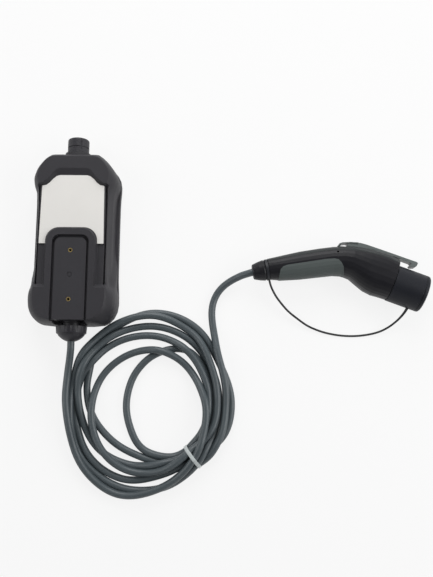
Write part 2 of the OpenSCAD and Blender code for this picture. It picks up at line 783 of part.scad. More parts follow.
module gland_seal() {
    bore = cable_d / 2 + fit_gap;
    color([0.08, 0.08, 0.08]) on_gland() rotate_extrude() polygon([
        [bore, gland_sleeve_out - gland_grip_l],
        [gland_bore_d / 2 - fit_gap, gland_sleeve_out - gland_grip_l],
        [gland_bore_d / 2 - fit_gap, gland_sleeve_out + fit_gap],
        [gland_cone_d / 2 - fit_gap, gland_sleeve_out + fit_gap],
        [bore + fit_gap, gland_out - flange_t - fit_gap],
        [bore, gland_out - flange_t - fit_gap]]);
}

module locknut(bore_d) {
    translate([0, 0, -pad_t - locknut_t]) difference() {
        cylinder(h = locknut_t, r = locknut_flat_r, $fn = 6);
        translate([0, 0, -over]) cylinder(h = locknut_t + 2 * over, d = bore_d + 2 * fit_gap);
    }
}

module gland_locknut() {
    color([0.12, 0.12, 0.13]) on_gland() locknut(sleeve_d);
}

module inlet_locknut() {
    color([0.12, 0.12, 0.13]) on_inlet() locknut(inlet_thread_d);
}

module inlet_gasket() {
    color([0.08, 0.08, 0.08]) on_inlet() ring_prism(inlet_flange_d, inlet_thread_d + 2 * fit_gap, 0, inlet_gasket_t);
}

// Socket with a rounded lip, a coupling groove and a keyway
module inlet_shell() {
    r = inlet_d / 2;
    bore = r - inlet_t;
    steps = 4;
    lip = [for (i = [0:steps]) let (a = 90 * i / steps)
        [r - inlet_lip_r + inlet_lip_r * cos(a), inlet_out - inlet_lip_r + inlet_lip_r * sin(a)]];
    color([0.13, 0.13, 0.14]) on_inlet() difference() {
        rotate_extrude() polygon(concat(
            [[inlet_flange_d / 2, inlet_gasket_t], [inlet_flange_d / 2, inlet_gasket_t + flange_t / 2],
             [r, inlet_gasket_t + flange_t], [r, inlet_ring_at], [r - inlet_ring_d, inlet_ring_at],
             [r - inlet_ring_d, inlet_ring_at + inlet_ring_w], [r, inlet_ring_at + inlet_ring_w]],
            lip,
            [[bore, inlet_out], [bore, inlet_gasket_t + flange_t], [inlet_thread_d / 2 - inlet_t, inlet_gasket_t + flange_t],
             [inlet_thread_d / 2 - inlet_t, -inlet_thread_l], [inlet_thread_d / 2, -inlet_thread_l],
             [inlet_thread_d / 2, inlet_gasket_t]]));
        rotate([0, 0, -90 + key_angle]) translate([r - key_w / 2, -key_w / 2, inlet_gasket_t + 2 * flange_t])
            cube([key_w, key_w, inlet_out]);
    }
}

module at_inlet_pins() {
    for (i = [0:2]) rotate([0, 0, 120 * i + 90]) translate([inlet_pin_ring_d / 2, 0, 0]) children();
}

module inlet_insert() {
    color([0.2, 0.2, 0.22]) on_inlet() difference() {
        translate([0, 0, inlet_gasket_t + flange_t])
            cylinder(h = inlet_face - inlet_gasket_t - flange_t, d = inlet_d - 2 * inlet_t - 2 * fit_gap);
        at_inlet_pins() cylinder(h = inlet_out, d = pin_d + 2 * fit_gap);
    }
}

module inlet_pins() {
    tail = inlet_thread_d / 4;
    color([0.78, 0.76, 0.7]) on_inlet() at_inlet_pins() rotate_extrude() polygon([
        [0, -tail], [pin_d / 2, -tail], [pin_d / 2, inlet_pin_out - pin_d / 4],
        [pin_d / 4, inlet_pin_out], [0, inlet_pin_out]]);
}

// The two leads of the cable that lie outside the coil
module cable_lead_in() {
    color([0.3, 0.33, 0.35]) cord(smooth(lead_in_route, 1), cable_d, cable_sides);
}

function on_rear_axis(at) = [
    gun_x + at * cos(rear_angle), gun_y + rear_y + at * sin(rear_angle), gun_z];

module cable_lead_out() {
    color([0.3, 0.33, 0.35])
        cord(concat(smooth(lead_out_route, 2), [on_rear_axis(0), on_rear_axis(cable_end)]), cable_d, cable_sides);
}

module coil_2d() {
    difference() {
        polygon(smooth_loop(coil_edge, 4));
        polygon(smooth_loop(coil_hole, 5));
    }
}

module at_tie() {
    translate([tie_x, tie_y, 0]) rotate([0, 0, tie_angle]) children();
}

module cable_coil() {
    room = bundle_w * 3;
    color([0.3, 0.33, 0.35]) difference() {
        linear_extrude(height = coil_h) coil_2d();
        at_tie() difference() {
            translate([-tie_w / 2 - tie_gap, -room / 2, -over]) cube([tie_w + 2 * tie_gap, room, coil_h + 2 * over]);
            translate([-tie_w, -bundle_w / 2, tie_t]) cube([2 * tie_w, bundle_w, coil_h - 2 * tie_t]);
        }
    }
}

module coil_tie() {
    color([0.75, 0.77, 0.77]) at_tie() difference() {
        translate([-tie_w / 2, -bundle_w / 2 - tie_t, 0]) cube([tie_w, bundle_w + 2 * tie_t, coil_h]);
        translate([-tie_w, -bundle_w / 2, tie_t]) cube([2 * tie_w, bundle_w, coil_h - 2 * tie_t]);
    }
}

module rear_collar() {
    r0 = collar_rear_d / 2;
    r1 = collar_front_d / 2;
    steps = 4;
    rear = [for (i = [0:steps]) let (a = 90 * i / steps)
        [r0 - collar_round + collar_round * sin(a), collar_round - collar_round * cos(a)]];
    bore = cable_d / 2 + slip_gap;
    color([0.1, 0.1, 0.11]) on_rear() rotate_extrude() polygon(concat(
        [[bore, 0]], rear,
        [[r0 + (r1 - r0) * 0.6, collar_l * 0.5], [r1, collar_l * 0.85], [r1 - over, collar_l],
         [neck_d / 2, collar_l], [neck_d / 2, neck_end], [bore, neck_end]]));
}

module tether_ring() {
    color([0.1, 0.1, 0.11]) on_rear() translate([0, 0, collar_l + fit_gap])
        ring_prism(neck_d + 2 * ring_t, neck_d + 2 * fit_gap, 0, ring_w);
}

module cable_clamp() {
    color([0.2, 0.2, 0.22]) on_rear() translate([0, 0, neck_end]) difference() {
        cylinder(h = clamp_l, d = clamp_d);
        translate([0, 0, -over]) cylinder(h = clamp_l + 2 * over, d = cable_d + 2 * fit_gap);
        translate([-clamp_slot_w / 2, 0, -over]) cube([clamp_slot_w, clamp_d, clamp_l + 2 * over]);
    }
}

module handle_skin(grow) {
    skin([for (p = gun_shares) gun_ring(p, grow)]);
}

module spine_zone(drop) {
    line = [for (p = spine_shares) [p[0] * gun_l, p[1] * gun_l - drop]];
    high = gun_l;
    prism(-gun_t, gun_t) polygon(concat(line, [[line[len(line) - 1][0], high], [line[0][0], high]]));
}

module grip_zone() {
    prism(-gun_t, gun_t) polygon([for (p = grip_shares) p * gun_l]);
}

// Rear and front bulkheads are left solid by this limit on the cavity
module cavity_limit() {
    x0 = neck_end + over;
    translate([x0, -gun_l, -gun_t]) cube([gun_l, 2 * gun_l, 2 * gun_t]);
}

module at_gun_screws() {
    for (p = gun_screw_shares) translate([p[0] * gun_l, p[1] * gun_l, -p[2] * gun_l]) children();
}

module gun_cavity() {
    difference() {
        intersection() {
            handle_skin(-gun_wall);
            cavity_limit();
        }
        translate([nose_x, nose_y, 0]) rotate([0, 0, -nose_angle]) translate([-barrel_seat, -gun_l, -gun_t])
            cube([gun_l, 2 * gun_l, 2 * gun_t]);
        at_gun_screws() cylinder(h = 3 * gun_t, d = gun_boss_d, center = true);
    }
}

// Half of the handle: side is 1 for the half that faces up and -1 for the half that lies down
module handle_half(side) {
    difference() {
        handle_skin(0);
        translate([-gun_l, -gun_l, side > 0 ? -gun_t : 0]) cube([3 * gun_l, 2 * gun_l, gun_t]);
        spine_zone(0);
        gun_cavity();
        difference() {
            grip_zone();
            handle_skin(-grip_t);
        }
        children();
    }
}

module handle_bores() {
    on_rear_local() cylinder(h = 2 * neck_end, d = neck_d + 2 * fit_gap);
    on_nose_local() translate([0, 0, -barrel_in]) cylinder(h = 2 * barrel_in, d = barrel_d + 2 * fit_gap);
    at_gun_screws() cylinder(h = gun_t / 2 + over, d = gun_screw_d + 2 * fit_gap);
    at_gun_screws() translate([0, 0, -gun_t]) cylinder(h = gun_t + fit_gap, d = gun_screw_head_d + slip_gap);
}

module on_rear_local() {
    translate([0, rear_y, 0]) rotate([0, 0, rear_angle]) rotate([0, 90, 0]) children();
}

module on_nose_local() {
    translate([nose_x, nose_y, 0]) rotate([0, 0, -nose_angle]) rotate([0, 90, 0]) children();
}

// Small blind hole on the upper side, over the middle screw
module sight_hole() {
    p = gun_screw_shares[1];
    translate([p[0] * gun_l, p[1] * gun_l, gun_t / 4]) cylinder(h = gun_t, d = gun_screw_d);
}

module right_handle_shell() {
    color([0.12, 0.12, 0.13]) on_gun() handle_half(1) {
        handle_bores();
        sight_hole();
    }
}

module switch_posts() {
    for (side = [-1, 1]) translate([switch_x + side * switch_pitch / 2, switch_y, 0]) children();
}

module left_handle_shell() {
    color([0.12, 0.12, 0.13]) on_gun() {
        handle_half(-1) handle_bores();
        switch_posts() translate([0, 0, -gun_t / 2 + gun_wall / 2])
            cylinder(h = gun_t / 2 - gun_wall / 2 - switch_t / 2, d = switch_post_d);
        switch_posts() translate([0, 0, -switch_t]) cylinder(h = switch_t * 1.4, d = switch_peg_d);
    }
}

module latch_switch() {
    color([0.15, 0.15, 0.2]) on_gun() difference() {
        translate([switch_x - switch_w / 2, switch_y - switch_l / 2, -switch_t / 2])
            cube([switch_w, switch_l, switch_t]);
        switch_posts() translate([0, 0, -switch_t]) cylinder(h = 2 * switch_t, d = switch_peg_d + 2 * fit_gap);
    }
}

module lever_pocket() {
    w = lever_w + 2 * slip_gap;
    prism(-pad_w / 2 - slip_gap, pad_w / 2 + slip_gap) polygon([for (p = pocket_shares) p * gun_l]);
    translate([pivot_x, pivot_y, 0]) cylinder(h = w, r = lug_r + slip_gap, center = true);
    translate([pivot_x - lug_r - 2 * slip_gap, pivot_y, -w / 2]) cube([2 * lug_r + 4 * slip_gap, gun_t, w]);
}

// Top strip of the handle, with the lever's pocket and the bore for its pin
module handle_spine() {
    color([0.13, 0.13, 0.14]) on_gun() difference() {
        intersection() {
            handle_skin(0);
            spine_zone(0);
        }
        lever_pocket();
        translate([pivot_x, pivot_y, 0]) cylinder(h = lever_pin_l, d = lever_pin_d + 2 * fit_gap, center = true);
        translate([spring_x, spring_low_y, 0]) rotate([-90, 0, 0]) cylinder(h = gun_t, d = spring_d + slip_gap);
        handle_bores();
    }
}

module grip_insert() {
    color([0.34, 0.36, 0.36]) on_gun() difference() {
        intersection() {
            handle_skin(grip_proud);
            grip_zone();
        }
        handle_skin(-grip_t);
    }
}

module handle_screws() {
    color([0.6, 0.6, 0.62]) on_gun() at_gun_screws() {
        translate([0, 0, -gun_screw_head_h]) cylinder(h = gun_screw_head_h, d = gun_screw_head_d);
        cylinder(h = gun_t / 2, d = gun_screw_d);
    }
}

module latch_lever() {
    color([0.33, 0.34, 0.35]) on_gun() difference() {
        union() {
            prism(-lever_w / 2, lever_w / 2) polygon([for (p = lever_shares) p * gun_l]);
            prism(-pad_w / 2, pad_w / 2) polygon([for (p = pad_shares) p * gun_l]);
            translate([pivot_x, pivot_y, 0]) cylinder(h = lever_w, r = lug_r, center = true);
            translate([pivot_x - lug_r, pivot_y, -lever_w / 2]) cube([2 * lug_r, 0.04 * gun_l, lever_w]);
        }
        prism(-pad_w, pad_w) polygon([for (p = eye_shares) p * gun_l]);
        translate([pivot_x, pivot_y, 0]) cylinder(h = 2 * lever_w, d = lever_pin_d + 2 * fit_gap, center = true);
    }
}

module lever_pin() {
    color([0.7, 0.7, 0.72]) on_gun() translate([pivot_x, pivot_y, 0])
        cylinder(h = lever_pin_l - 2 * fit_gap, d = lever_pin_d, center = true);
}

module lever_spring() {
    rings = 34;
    rise = spring_high_y - spring_low_y - spring_wire_d - 2 * fit_gap;
    r = (spring_d - spring_wire_d) / 2;
    helix = [for (i = [0:rings]) let (a = 360 * spring_turns * i / rings)
        [r * cos(a), spring_wire_d / 2 + fit_gap + rise * i / rings, r * sin(a)]];
    color([0.7, 0.7, 0.72]) on_gun() translate([spring_x, spring_low_y, 0]) cord(helix, spring_wire_d, 8);
}

module nose_barrel() {
    r = barrel_d / 2;
    color([0.11, 0.11, 0.12]) on_nose() rotate_extrude() polygon([
        [r - barrel_t, -barrel_in], [r, -barrel_in], [r, barrel_out - barrel_lip],
        [r - barrel_lip, barrel_out], [r - barrel_t, barrel_out]]);
}

module at_contacts(power) {
    for (p = contact_shares) if (p[2] == power)
        translate([p[0] * barrel_d / 2, p[1] * barrel_d / 2, 0]) children();
}

module contact_block() {
    h = barrel_out - block_recess + block_in;
    color([0.15, 0.15, 0.16]) on_nose() translate([0, 0, -block_in]) difference() {
        cylinder(h = h, d = barrel_d - 2 * barrel_t - 2 * fit_gap);
        at_contacts(1) translate([0, 0, -over]) cylinder(h = h + 2 * over, d = power_bore_d + 2 * fit_gap);
        at_contacts(0) translate([0, 0, -over]) cylinder(h = h + 2 * over, d = signal_bore_d + 2 * fit_gap);
    }
}

module contacts() {
    lead = power_bore_d / 2;
    color([0.8, 0.66, 0.32]) on_nose() {
        at_contacts(1) ring_prism(power_bore_d, power_hole_d, -block_in, contact_l);
        at_contacts(0) ring_prism(signal_bore_d, signal_hole_d, -block_in, contact_l);
        at_contacts(1) translate([0, 0, -block_in - lead]) cylinder(h = lead, d = power_hole_d);
        at_contacts(0) translate([0, 0, -block_in - lead]) cylinder(h = lead, d = signal_hole_d);
    }
}

// One lead from the end of the cable to each contact
function nose_point(x, y, z) = [
    gun_x + nose_x + z * cos(nose_angle) + y * sin(nose_angle),
    gun_y + nose_y - z * sin(nose_angle) + y * cos(nose_angle),
    gun_z - x];
function lead_route(p) =
    let (at = [p[0], p[1]] * barrel_d / 2, spread = [0, p[1], -p[0]] * 0.45 * cable_d)
    concat(
        [on_rear_axis(cable_end + lead_gap) + spread],
        [for (q = lead_shares) [gun_x + q[0] * gun_l, gun_y + q[1] * gun_l, gun_z] + spread],
        [nose_point(at[0], at[1], -barrel_in), nose_point(at[0], at[1], -block_in - power_bore_d / 2 - lead_gap)]);

module contact_leads() {
    color([0.75, 0.4, 0.2]) for (p = contact_shares) cord(smooth(lead_route(p), 4), signal_bore_d / 2, 8);
}

// Cup that closes the barrel, with a rounded end, a shallow groove and the tether's lug
module dust_cap() {
    r = cap_d / 2;
    bore = barrel_d / 2 + slip_gap;
    steps = 5;
    round_end = [for (i = [0:steps]) let (a = 90 * i / steps)
        [r - cap_round + cap_round * cos(a), cap_l - cap_round + cap_round * sin(a)]];
    groove = cap_l - cap_groove_at;
    color([0.1, 0.1, 0.11]) on_nose() {
        rotate_extrude() polygon(concat(
            [[bore, cap_gap], [r - over / 2, cap_gap], [r, cap_gap + over / 2],
             [r, groove - cap_groove_w], [r - cap_groove_d, groove - cap_groove_w], [r - cap_groove_d, groove], [r, groove]],
            round_end,
            [[0, cap_l], [0, cap_l - cap_end_t], [bore, cap_l - cap_end_t]]));
        translate([-lug_w / 2, -r - lug_h, lug_at - lug_l / 2]) cube([lug_w, lug_h + over, lug_l]);
    }
}

module cap_tether() {
    color([0.1, 0.1, 0.11]) cord(smooth(tether_route, 2), tether_d, 8);
}

front_housing();
back_housing();
housing_seal();
housing_screws();
threaded_inserts();
blank_label();
indicator_window();
light_guides();
main_board();
relays();
leakage_sensor();
supply_transformer();
capacitors();
output_terminals();
input_terminals();
gland_body();
gland_nut();
gland_seal();
gland_locknut();
inlet_shell();
inlet_insert();
inlet_pins();
inlet_gasket();
inlet_locknut();
cable_lead_in();
cable_coil();
coil_tie();
cable_lead_out();
rear_collar();
cable_clamp();
right_handle_shell();
left_handle_shell();
handle_spine();
grip_insert();
handle_screws();
latch_lever();
lever_pin();
lever_spring();
latch_switch();
nose_barrel();
contact_block();
contacts();
contact_leads();
dust_cap();
tether_ring();
cap_tether();
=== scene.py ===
"""Looks of a portable EV charger: control box, coiled lead and vehicle connector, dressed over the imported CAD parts."""

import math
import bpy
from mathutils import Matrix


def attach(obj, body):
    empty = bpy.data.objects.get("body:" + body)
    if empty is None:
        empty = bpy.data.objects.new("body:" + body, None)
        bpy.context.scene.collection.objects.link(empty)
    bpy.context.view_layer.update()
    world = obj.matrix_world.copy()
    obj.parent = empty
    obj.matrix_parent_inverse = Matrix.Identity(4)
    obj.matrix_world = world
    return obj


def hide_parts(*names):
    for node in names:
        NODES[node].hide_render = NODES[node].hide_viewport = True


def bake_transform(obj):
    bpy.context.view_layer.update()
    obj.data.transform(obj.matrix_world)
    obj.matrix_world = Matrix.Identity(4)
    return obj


bl_info = {
    "name": "Portable EV charger",
    "version": (1, 0, 0),
    "blender": (4, 5, 0),
    "location": "View3D > Sidebar > EV charger",
    "description": "Control box, coiled charging lead and capped vehicle connector",
    "category": "Add Mesh",
}

import bmesh
import bpy
import numpy as np
from mathutils import Matrix, Vector

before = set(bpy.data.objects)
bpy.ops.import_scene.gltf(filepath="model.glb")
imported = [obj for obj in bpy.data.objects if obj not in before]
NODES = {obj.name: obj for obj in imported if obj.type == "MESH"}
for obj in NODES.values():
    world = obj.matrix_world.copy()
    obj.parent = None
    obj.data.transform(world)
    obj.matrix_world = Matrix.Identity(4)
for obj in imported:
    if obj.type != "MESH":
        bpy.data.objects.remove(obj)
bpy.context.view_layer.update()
MM = 0.001

# Places that the charger's parts share, in millimetres
CASE_Y = -1.0
CASE_L = 230.0
CASE_W = 117.0
FRONT_H = 14.0
BACK_H = 43.0
TOP_Z = 57.0
AXIS_Z = 28.0
GLAND_Y = -116.0
INLET_Y = 114.0
GUN = Vector((237.0, -42.0, 24.8))
GUN_L = 234.0
NOSE_AT = (0.785 * GUN_L, -0.057 * GUN_L)
NOSE_ANGLE = math.radians(20)

# Right half of the box's outline from the gland end to the inlet end, as shares of half its width and length: at the
# joint, at the back face, then how much of the waist's step a place takes, and where up the wall that step starts
BOX_SIDE = [
    (0, -1, 0, -0.957, 0, 0), (0.444, -1, 0.427, -0.955, 0, 0), (0.692, -0.987, 0.564, -0.935, 0, 0),
    (0.803, -0.957, 0.65, -0.904, 0, 0), (0.906, -0.9, 0.726, -0.852, 0, 0), (0.974, -0.826, 0.769, -0.787, 0, 0),
    (1, -0.739, 0.786, -0.713, 0, 0), (1, -0.652, 0.786, -0.635, 0.1, 0.8), (1, -0.565, 0.774, -0.548, 0.8, 0.65),
    (1, -0.461, 0.749, -0.443, 0.95, 0.5), (1, -0.322, 0.723, -0.304, 1, 0.3), (1, -0.043, 0.704, -0.043, 1, 0),
    (1, 0.252, 0.701, 0.252, 1, 0), (1, 0.426, 0.701, 0.426, 0.9, 0), (1, 0.53, 0.711, 0.522, 0.7, 0),
    (1, 0.609, 0.745, 0.596, 0.3, 0), (0.985, 0.678, 0.79, 0.67, 0.05, 0), (0.948, 0.743, 0.787, 0.735, 0, 0),
    (0.888, 0.804, 0.742, 0.8, 0, 0), (0.797, 0.87, 0.655, 0.862, 0, 0), (0.695, 0.93, 0.58, 0.898, 0, 0),
    (0.588, 0.978, 0.504, 0.915, 0, 0), (0.479, 1, 0.41, 0.921, 0, 0), (0, 1, 0, 0.921, 0, 0)]
# By share of the back's height: share of the way to the back face's outline, and share of the waist's step
HEIGHTS = [0, 0.25, 0.46, 0.5, 0.58, 0.66, 0.7, 0.79, 0.85, 0.95, 1]
TAPER = [0, 0.02, 0.104, 0.12, 0.19, 0.26, 0.3, 0.45, 0.55, 0.8, 1]
STEP = [0.84, 0.99, 0.97, 1.03, 1, 0.985, 0.955, 0.757, 0.77, 0.27, 0]
MORE_HEIGHTS = [0.05, 0.12, 0.18, 0.32, 0.4, 0.78, 0.9]
# The waist's step: its depth, what is left of it below its foot, and the share of the height that it fades over
WAIST = 7.0
JOINT_STEP = 0.34
RAMP = 0.25
# The hollow: its wall, how high it stays upright, and how far its top is drawn in and down from the label field
WALL = 2.6
HOLLOW_Z = 38.0
HOLLOW_TOP = (4.0, 7.0)
# Screw posts at both sides and ends, and what is left solid behind the gland
POST = (43.0, 84.0, 4.5)
GLAND_PAD = (26.0, 3.0)
# Upper edge of the label field, as shares: at its floor, then at the head
FIELD_EDGE = [
    ((0.697, 0.584), (0.692, 0.603)), ((0.605, 0.591), (0.598, 0.635)), ((0.526, 0.623), (0.504, 0.687)),
    ((0.458, 0.664), (0.453, 0.723)), ((0.376, 0.697), (0.385, 0.762)), ((0.308, 0.708), (0.299, 0.779))]
FIELD_FOOT = (-0.557, -0.598)
FIELD_Z = 52.0
WING_Z = 50.5
WING_Y = (-65.06, -11.7)
LABEL_X = 42.1
LABEL_T = 0.5
LABEL_GAP = 0.3
# Rail, slide channel and tongue: width, where the top lies, and radius of the corners
RAIL = (63.2, 7.8, 18.0)
RAIL_DRAFT = 0.42
CHANNEL = (47.6, -0.8, 9.0)
CHANNEL_Z = 51.0
TONGUE = (41.4, -4.2, 8.0)
TONGUE_Z = 55.0
# Groove beside the label and the wings, on both sides
GROOVE_X = (43.1, 45.0)
GROOVE_Y = (-65.5, 66.0)
GROOVE_Z = (44.8, 60.0)
# Two inserts in the tongue, and the ring mark midway between them: radii
INSERT_Y = (-84.98, -20.98)
INSERT_HOLE = 2.9
MARK = (3.4, 2.3)
BORE = 12.1
INLET_PAD = 17.6
# Recess at the gland end that shows the gland's neck: half its width, how deep, and from what height
RECESS = (21.0, -111.2, 31.0)
# Half sections of the gland's neck and nut: radius, and distance out of the end wall
NECK = [(4.9, -8), (12.6, -8), (12.6, -2.6), (11.4, -2.2), (11.2, 1.6), (4.9, 1.6)]
NUT = [
    (11.3, 1.2), (19.9, 1.2), (20.3, 1.7), (19.5, 10.4), (19.2, 11), (17.9, 11.2), (17.3, 12.6), (16.1, 14.3),
    (14, 16.3), (11.8, 18), (9.5, 19.4), (7.2, 20.5), (5.6, 21), (5, 20.7), (5, 17), (11.3, 12)]
# Flutes in the nut: how many, how far out, radius and length
NUT_RIBS = 16
FLUTE = (21.0, 1.5, 8.4)

# Free ends of the lead: from the gland down to the coil, and from the coil up to the connector
LEAD_IN = [
    (0, -127, 28), (0, -138, 28), (0, -147, 27.5), (-1, -157, 24.5), (-3, -168, 20.5), (-4.5, -180, 18)]
LEAD_OUT = [
    (190, -146, 17), (188, -131, 14), (185, -116, 10.5), (183, -103, 7), (182.5, -91, 5), (184, -81, 4.8),
    (187.5, -72, 4.8), (193, -63.5, 5.5), (200, -57, 8), (209, -51.5, 12), (219, -47.5, 17), (229, -44.8, 22),
    (237, -42.8, 24.8), (247, -41, 24.8)]

# The coil: distance of each turn from the coil's centre in twelve directions, first at the tie, and its layer
COIL_CENTRE = (115.0, -219.0)
COIL_START = -55.0
FIRST_TURN = [(180, 120), (215, 124), (245, 125), (275, 103)]
TURNS = [
    (6, [82, 67, 62, 60, 66, 74, 80, 86, 89, 93, 92, 82]),
    (5, [71.5, 77, 77.5, 85, 105, 120, 122, 119, 116, 121, 116, 105]),
    (4, [89.5, 80, 79, 84, 96, 106, 112, 113, 104, 97, 85, 74]),
    (2, [75.5, 72, 72, 76, 83, 69, 55, 46, 44, 47, 59, 69]),
    (3, [70.5, 67, 66, 71, 82, 93, 102, 109, 112, 113, 105, 88]),
    (1, [80.5, 94, 95.5, 97, 114, 124, 118, 105, 91, 77, 70, 72]),
]
LAST_TURN = [(305, 90.5), (335, 90.6), (365, 89), (383, 93)]
# How the turns settle: spacing of the points, rounds, fall per round, share of the way back, evening and stiffness
SETTLE_GAP = 6.0
SETTLE_STEPS = 300
CALM_STEPS = 60
SINK = 0.1
HOMING = 0.12
EVENING = (0.35, 0.35, 0.17)
STIFFNESS = 0.6
HELD_IN = 4
HELD_OUT = 5
ROUTE_STEP = 3.0

# Way of the cap's tether, from the ring round the neck to the cap, in millimetres
TETHER = [
    (258.7, -52, 25.6), (259.5, -54.5, 24.8), (262, -62, 22), (268, -73, 18.5), (276, -83, 14.5), (285, -92.5, 11),
    (296, -101, 8), (310, -110.5, 5), (322, -116, 3.4), (336, -120.5, 2.4), (354, -123.7, 1.8),
    (372, -124.6, 1.8), (390, -123, 2.2), (407, -119, 4), (420, -112.5, 7.5), (430, -104.5, 12.5),
    (436.2, -97.5, 17), (440.3, -91.3, 20.5), (442.6, -86.5, 22.5)]

# The latch lever's outline, its wider pad and its eye, and its pivot, as shares of the connector's length
LEVER = [
    (0.479, 0.14), (0.4795, 0.146), (0.492, 0.163), (0.507, 0.168), (0.555, 0.171), (0.612, 0.167), (0.646, 0.158),
    (0.726, 0.1305), (0.811, 0.1005), (0.895, 0.0705), (0.926, 0.06), (0.934, 0.0535), (0.932, 0.047),
    (0.925, 0.035), (0.917, 0.029), (0.892, 0.029), (0.887, 0.037), (0.896, 0.05), (0.889, 0.055), (0.853, 0.068),
    (0.839, 0.075), (0.81, 0.086), (0.753, 0.109), (0.68, 0.129), (0.612, 0.1395), (0.548, 0.141)]
LEVER_PAD = [
    (0.4795, 0.146), (0.492, 0.163), (0.507, 0.168), (0.555, 0.171), (0.6, 0.1685), (0.595, 0.162), (0.555, 0.166),
    (0.512, 0.163), (0.497, 0.158), (0.486, 0.146)]
LEVER_EYE = [(0.4955, 0.1475), (0.5045, 0.162), (0.53, 0.165), (0.54, 0.16), (0.538, 0.149), (0.532, 0.1445)]
PIVOT = (0.65, 0.118)
# The lever's thickness, that of its pad, and its boss and bore round the pin
LEVER_T = 12.0
PAD_T = 15.0
BOSS_R = 5.0
PIN_R = 1.55

# Half section of the dust cap: radius, and place along the nose
CAP = [
    (22.2, 0.6), (24.5, 0.6), (24.8, 0.9), (24.8, 39.4), (24.1, 39.7), (24.1, 40.6), (24.8, 40.9), (24.8, 42.6),
    (24.4, 44.1), (23.3, 45.1), (21.8, 45.5), (0, 45.5), (0, 42.5), (22.2, 42.5)]

# The tie: where it holds the coil, the way the strands run there, its strap, and how far off a strand may be
TIE_AT = (161.0, -285.0)
TIE_ANGLE = math.radians(37.5)
TIE_W = 4.6
TIE_T = 1.1
TIE_REACH = 30.0
TIE_STEP = 1.5

# Camera of the photograph, what the lamps aim at, and each lamp's place, size and power
CAMERA_AT = (0.1905, -0.2068, 0.94079)
CAMERA_TURN = (8.8, 0.0, 0.5)
LENS = 43.674
AIM = (0.15, -0.12, 0.0)
LAMPS = [
    ("far_softbox", (0.15, 1.15, 0.95), 1.1, 15.0),
    ("right_softbox", (1.5, -0.1, 0.95), 1.1, 14.0),
    ("near_softbox", (0.2, -1.45, 1.15), 1.1, 0.6),
    ("left_softbox", (-1.15, -0.1, 1.05), 1.1, 7.5),
]
FLOOR_R = 5.0
BACKDROP = 3.0
BEND = 1.2

# CAD parts of the connector, which hangs on the end of the lead
CONNECTOR_NODES = (
    "rear_collar", "cable_clamp", "right_handle_shell", "left_handle_shell", "handle_spine", "grip_insert",
    "handle_screws", "lever_pin", "lever_spring", "latch_switch", "nose_barrel", "contact_block",
    "contacts", "contact_leads", "tether_ring")


# ---------------------------------------------------------------- finishes

def shade(value):
    """Linear value of a screen shade from 0 to 255."""
    c = value / 255
    return c / 12.92 if c <= 0.04045 else ((c + 0.055) / 1.055) ** 2.4


def tone(r, g, b):
    """Linear colour of a screen colour."""
    return (shade(r), shade(g), shade(b))


def node_graph(name):
    """A new material with an empty Principled surface."""
    material = bpy.data.materials.new(name)
    material.use_nodes = True
    tree = material.node_tree
    tree.nodes.clear()
    output = tree.nodes.new("ShaderNodeOutputMaterial")
    surface = tree.nodes.new("ShaderNodeBsdfPrincipled")
    tree.links.new(surface.outputs["BSDF"], output.inputs["Surface"])
    return material, tree, surface


def noise_on_object(tree, scale, detail=2.0, stretch=None):
    """Noise that is fixed to the object's own coordinates, in features per metre."""
    place = tree.nodes.new("ShaderNodeTexCoord")
    noise = tree.nodes.new("ShaderNodeTexNoise")
    noise.inputs["Scale"].default_value = scale
    noise.inputs["Detail"].default_value = detail
    source = place.outputs["Object"]
    if stretch:
        mapping = tree.nodes.new("ShaderNodeMapping")
        mapping.inputs["Scale"].default_value = stretch
        tree.links.new(source, mapping.inputs["Vector"])
        source = mapping.outputs["Vector"]
    tree.links.new(source, noise.inputs["Vector"])
    return noise


def colour_drift(tree, surface, colour, amount, scale=28.0, stretch=None):
    """Base colour that drifts a little darker and lighter over the piece."""
    drift = noise_on_object(tree, scale, 4.0, stretch)
    ramp = tree.nodes.new("ShaderNodeValToRGB")
    dark = [max(0.0, c * (1 - amount)) for c in colour]
    light = [min(1.0, c * (1 + amount)) for c in colour]
    ramp.color_ramp.elements[0].position = 0.3
    ramp.color_ramp.elements[0].color = (*dark, 1)
    ramp.color_ramp.elements[1].position = 0.7
    ramp.color_ramp.elements[1].color = (*light, 1)
    tree.links.new(drift.outputs["Fac"], ramp.inputs["Fac"])
    tree.links.new(ramp.outputs["Color"], surface.inputs["Base Color"])


def uneven_sheen(tree, surface, rough, spread=0.06, scale=90.0):
    """Roughness that wanders about its mean."""
    sheen = noise_on_object(tree, scale, 3.0)
    reach = tree.nodes.new("ShaderNodeMapRange")
    reach.inputs["To Min"].default_value = max(0.02, rough - spread)
    reach.inputs["To Max"].default_value = min(1.0, rough + spread)
    tree.links.new(sheen.outputs["Fac"], reach.inputs["Value"])
    tree.links.new(reach.outputs["Result"], surface.inputs["Roughness"])


def surface_grain(tree, surface, scale, strength, depth=0.0003, stretch=None, soft_edge=0.0):
    """Fine grain, over edges that look rounded to the given radius."""
    fine = noise_on_object(tree, scale, 2.0, stretch)
    bump = tree.nodes.new("ShaderNodeBump")
    if soft_edge:
        rounded = tree.nodes.new("ShaderNodeBevel")
        rounded.samples = 6
        rounded.inputs["Radius"].default_value = soft_edge
        tree.links.new(rounded.outputs["Normal"], bump.inputs["Normal"])
    bump.inputs["Strength"].default_value = strength
    bump.inputs["Distance"].default_value = depth
    tree.links.new(fine.outputs["Fac"], bump.inputs["Height"])
    tree.links.new(bump.outputs["Normal"], surface.inputs["Normal"])


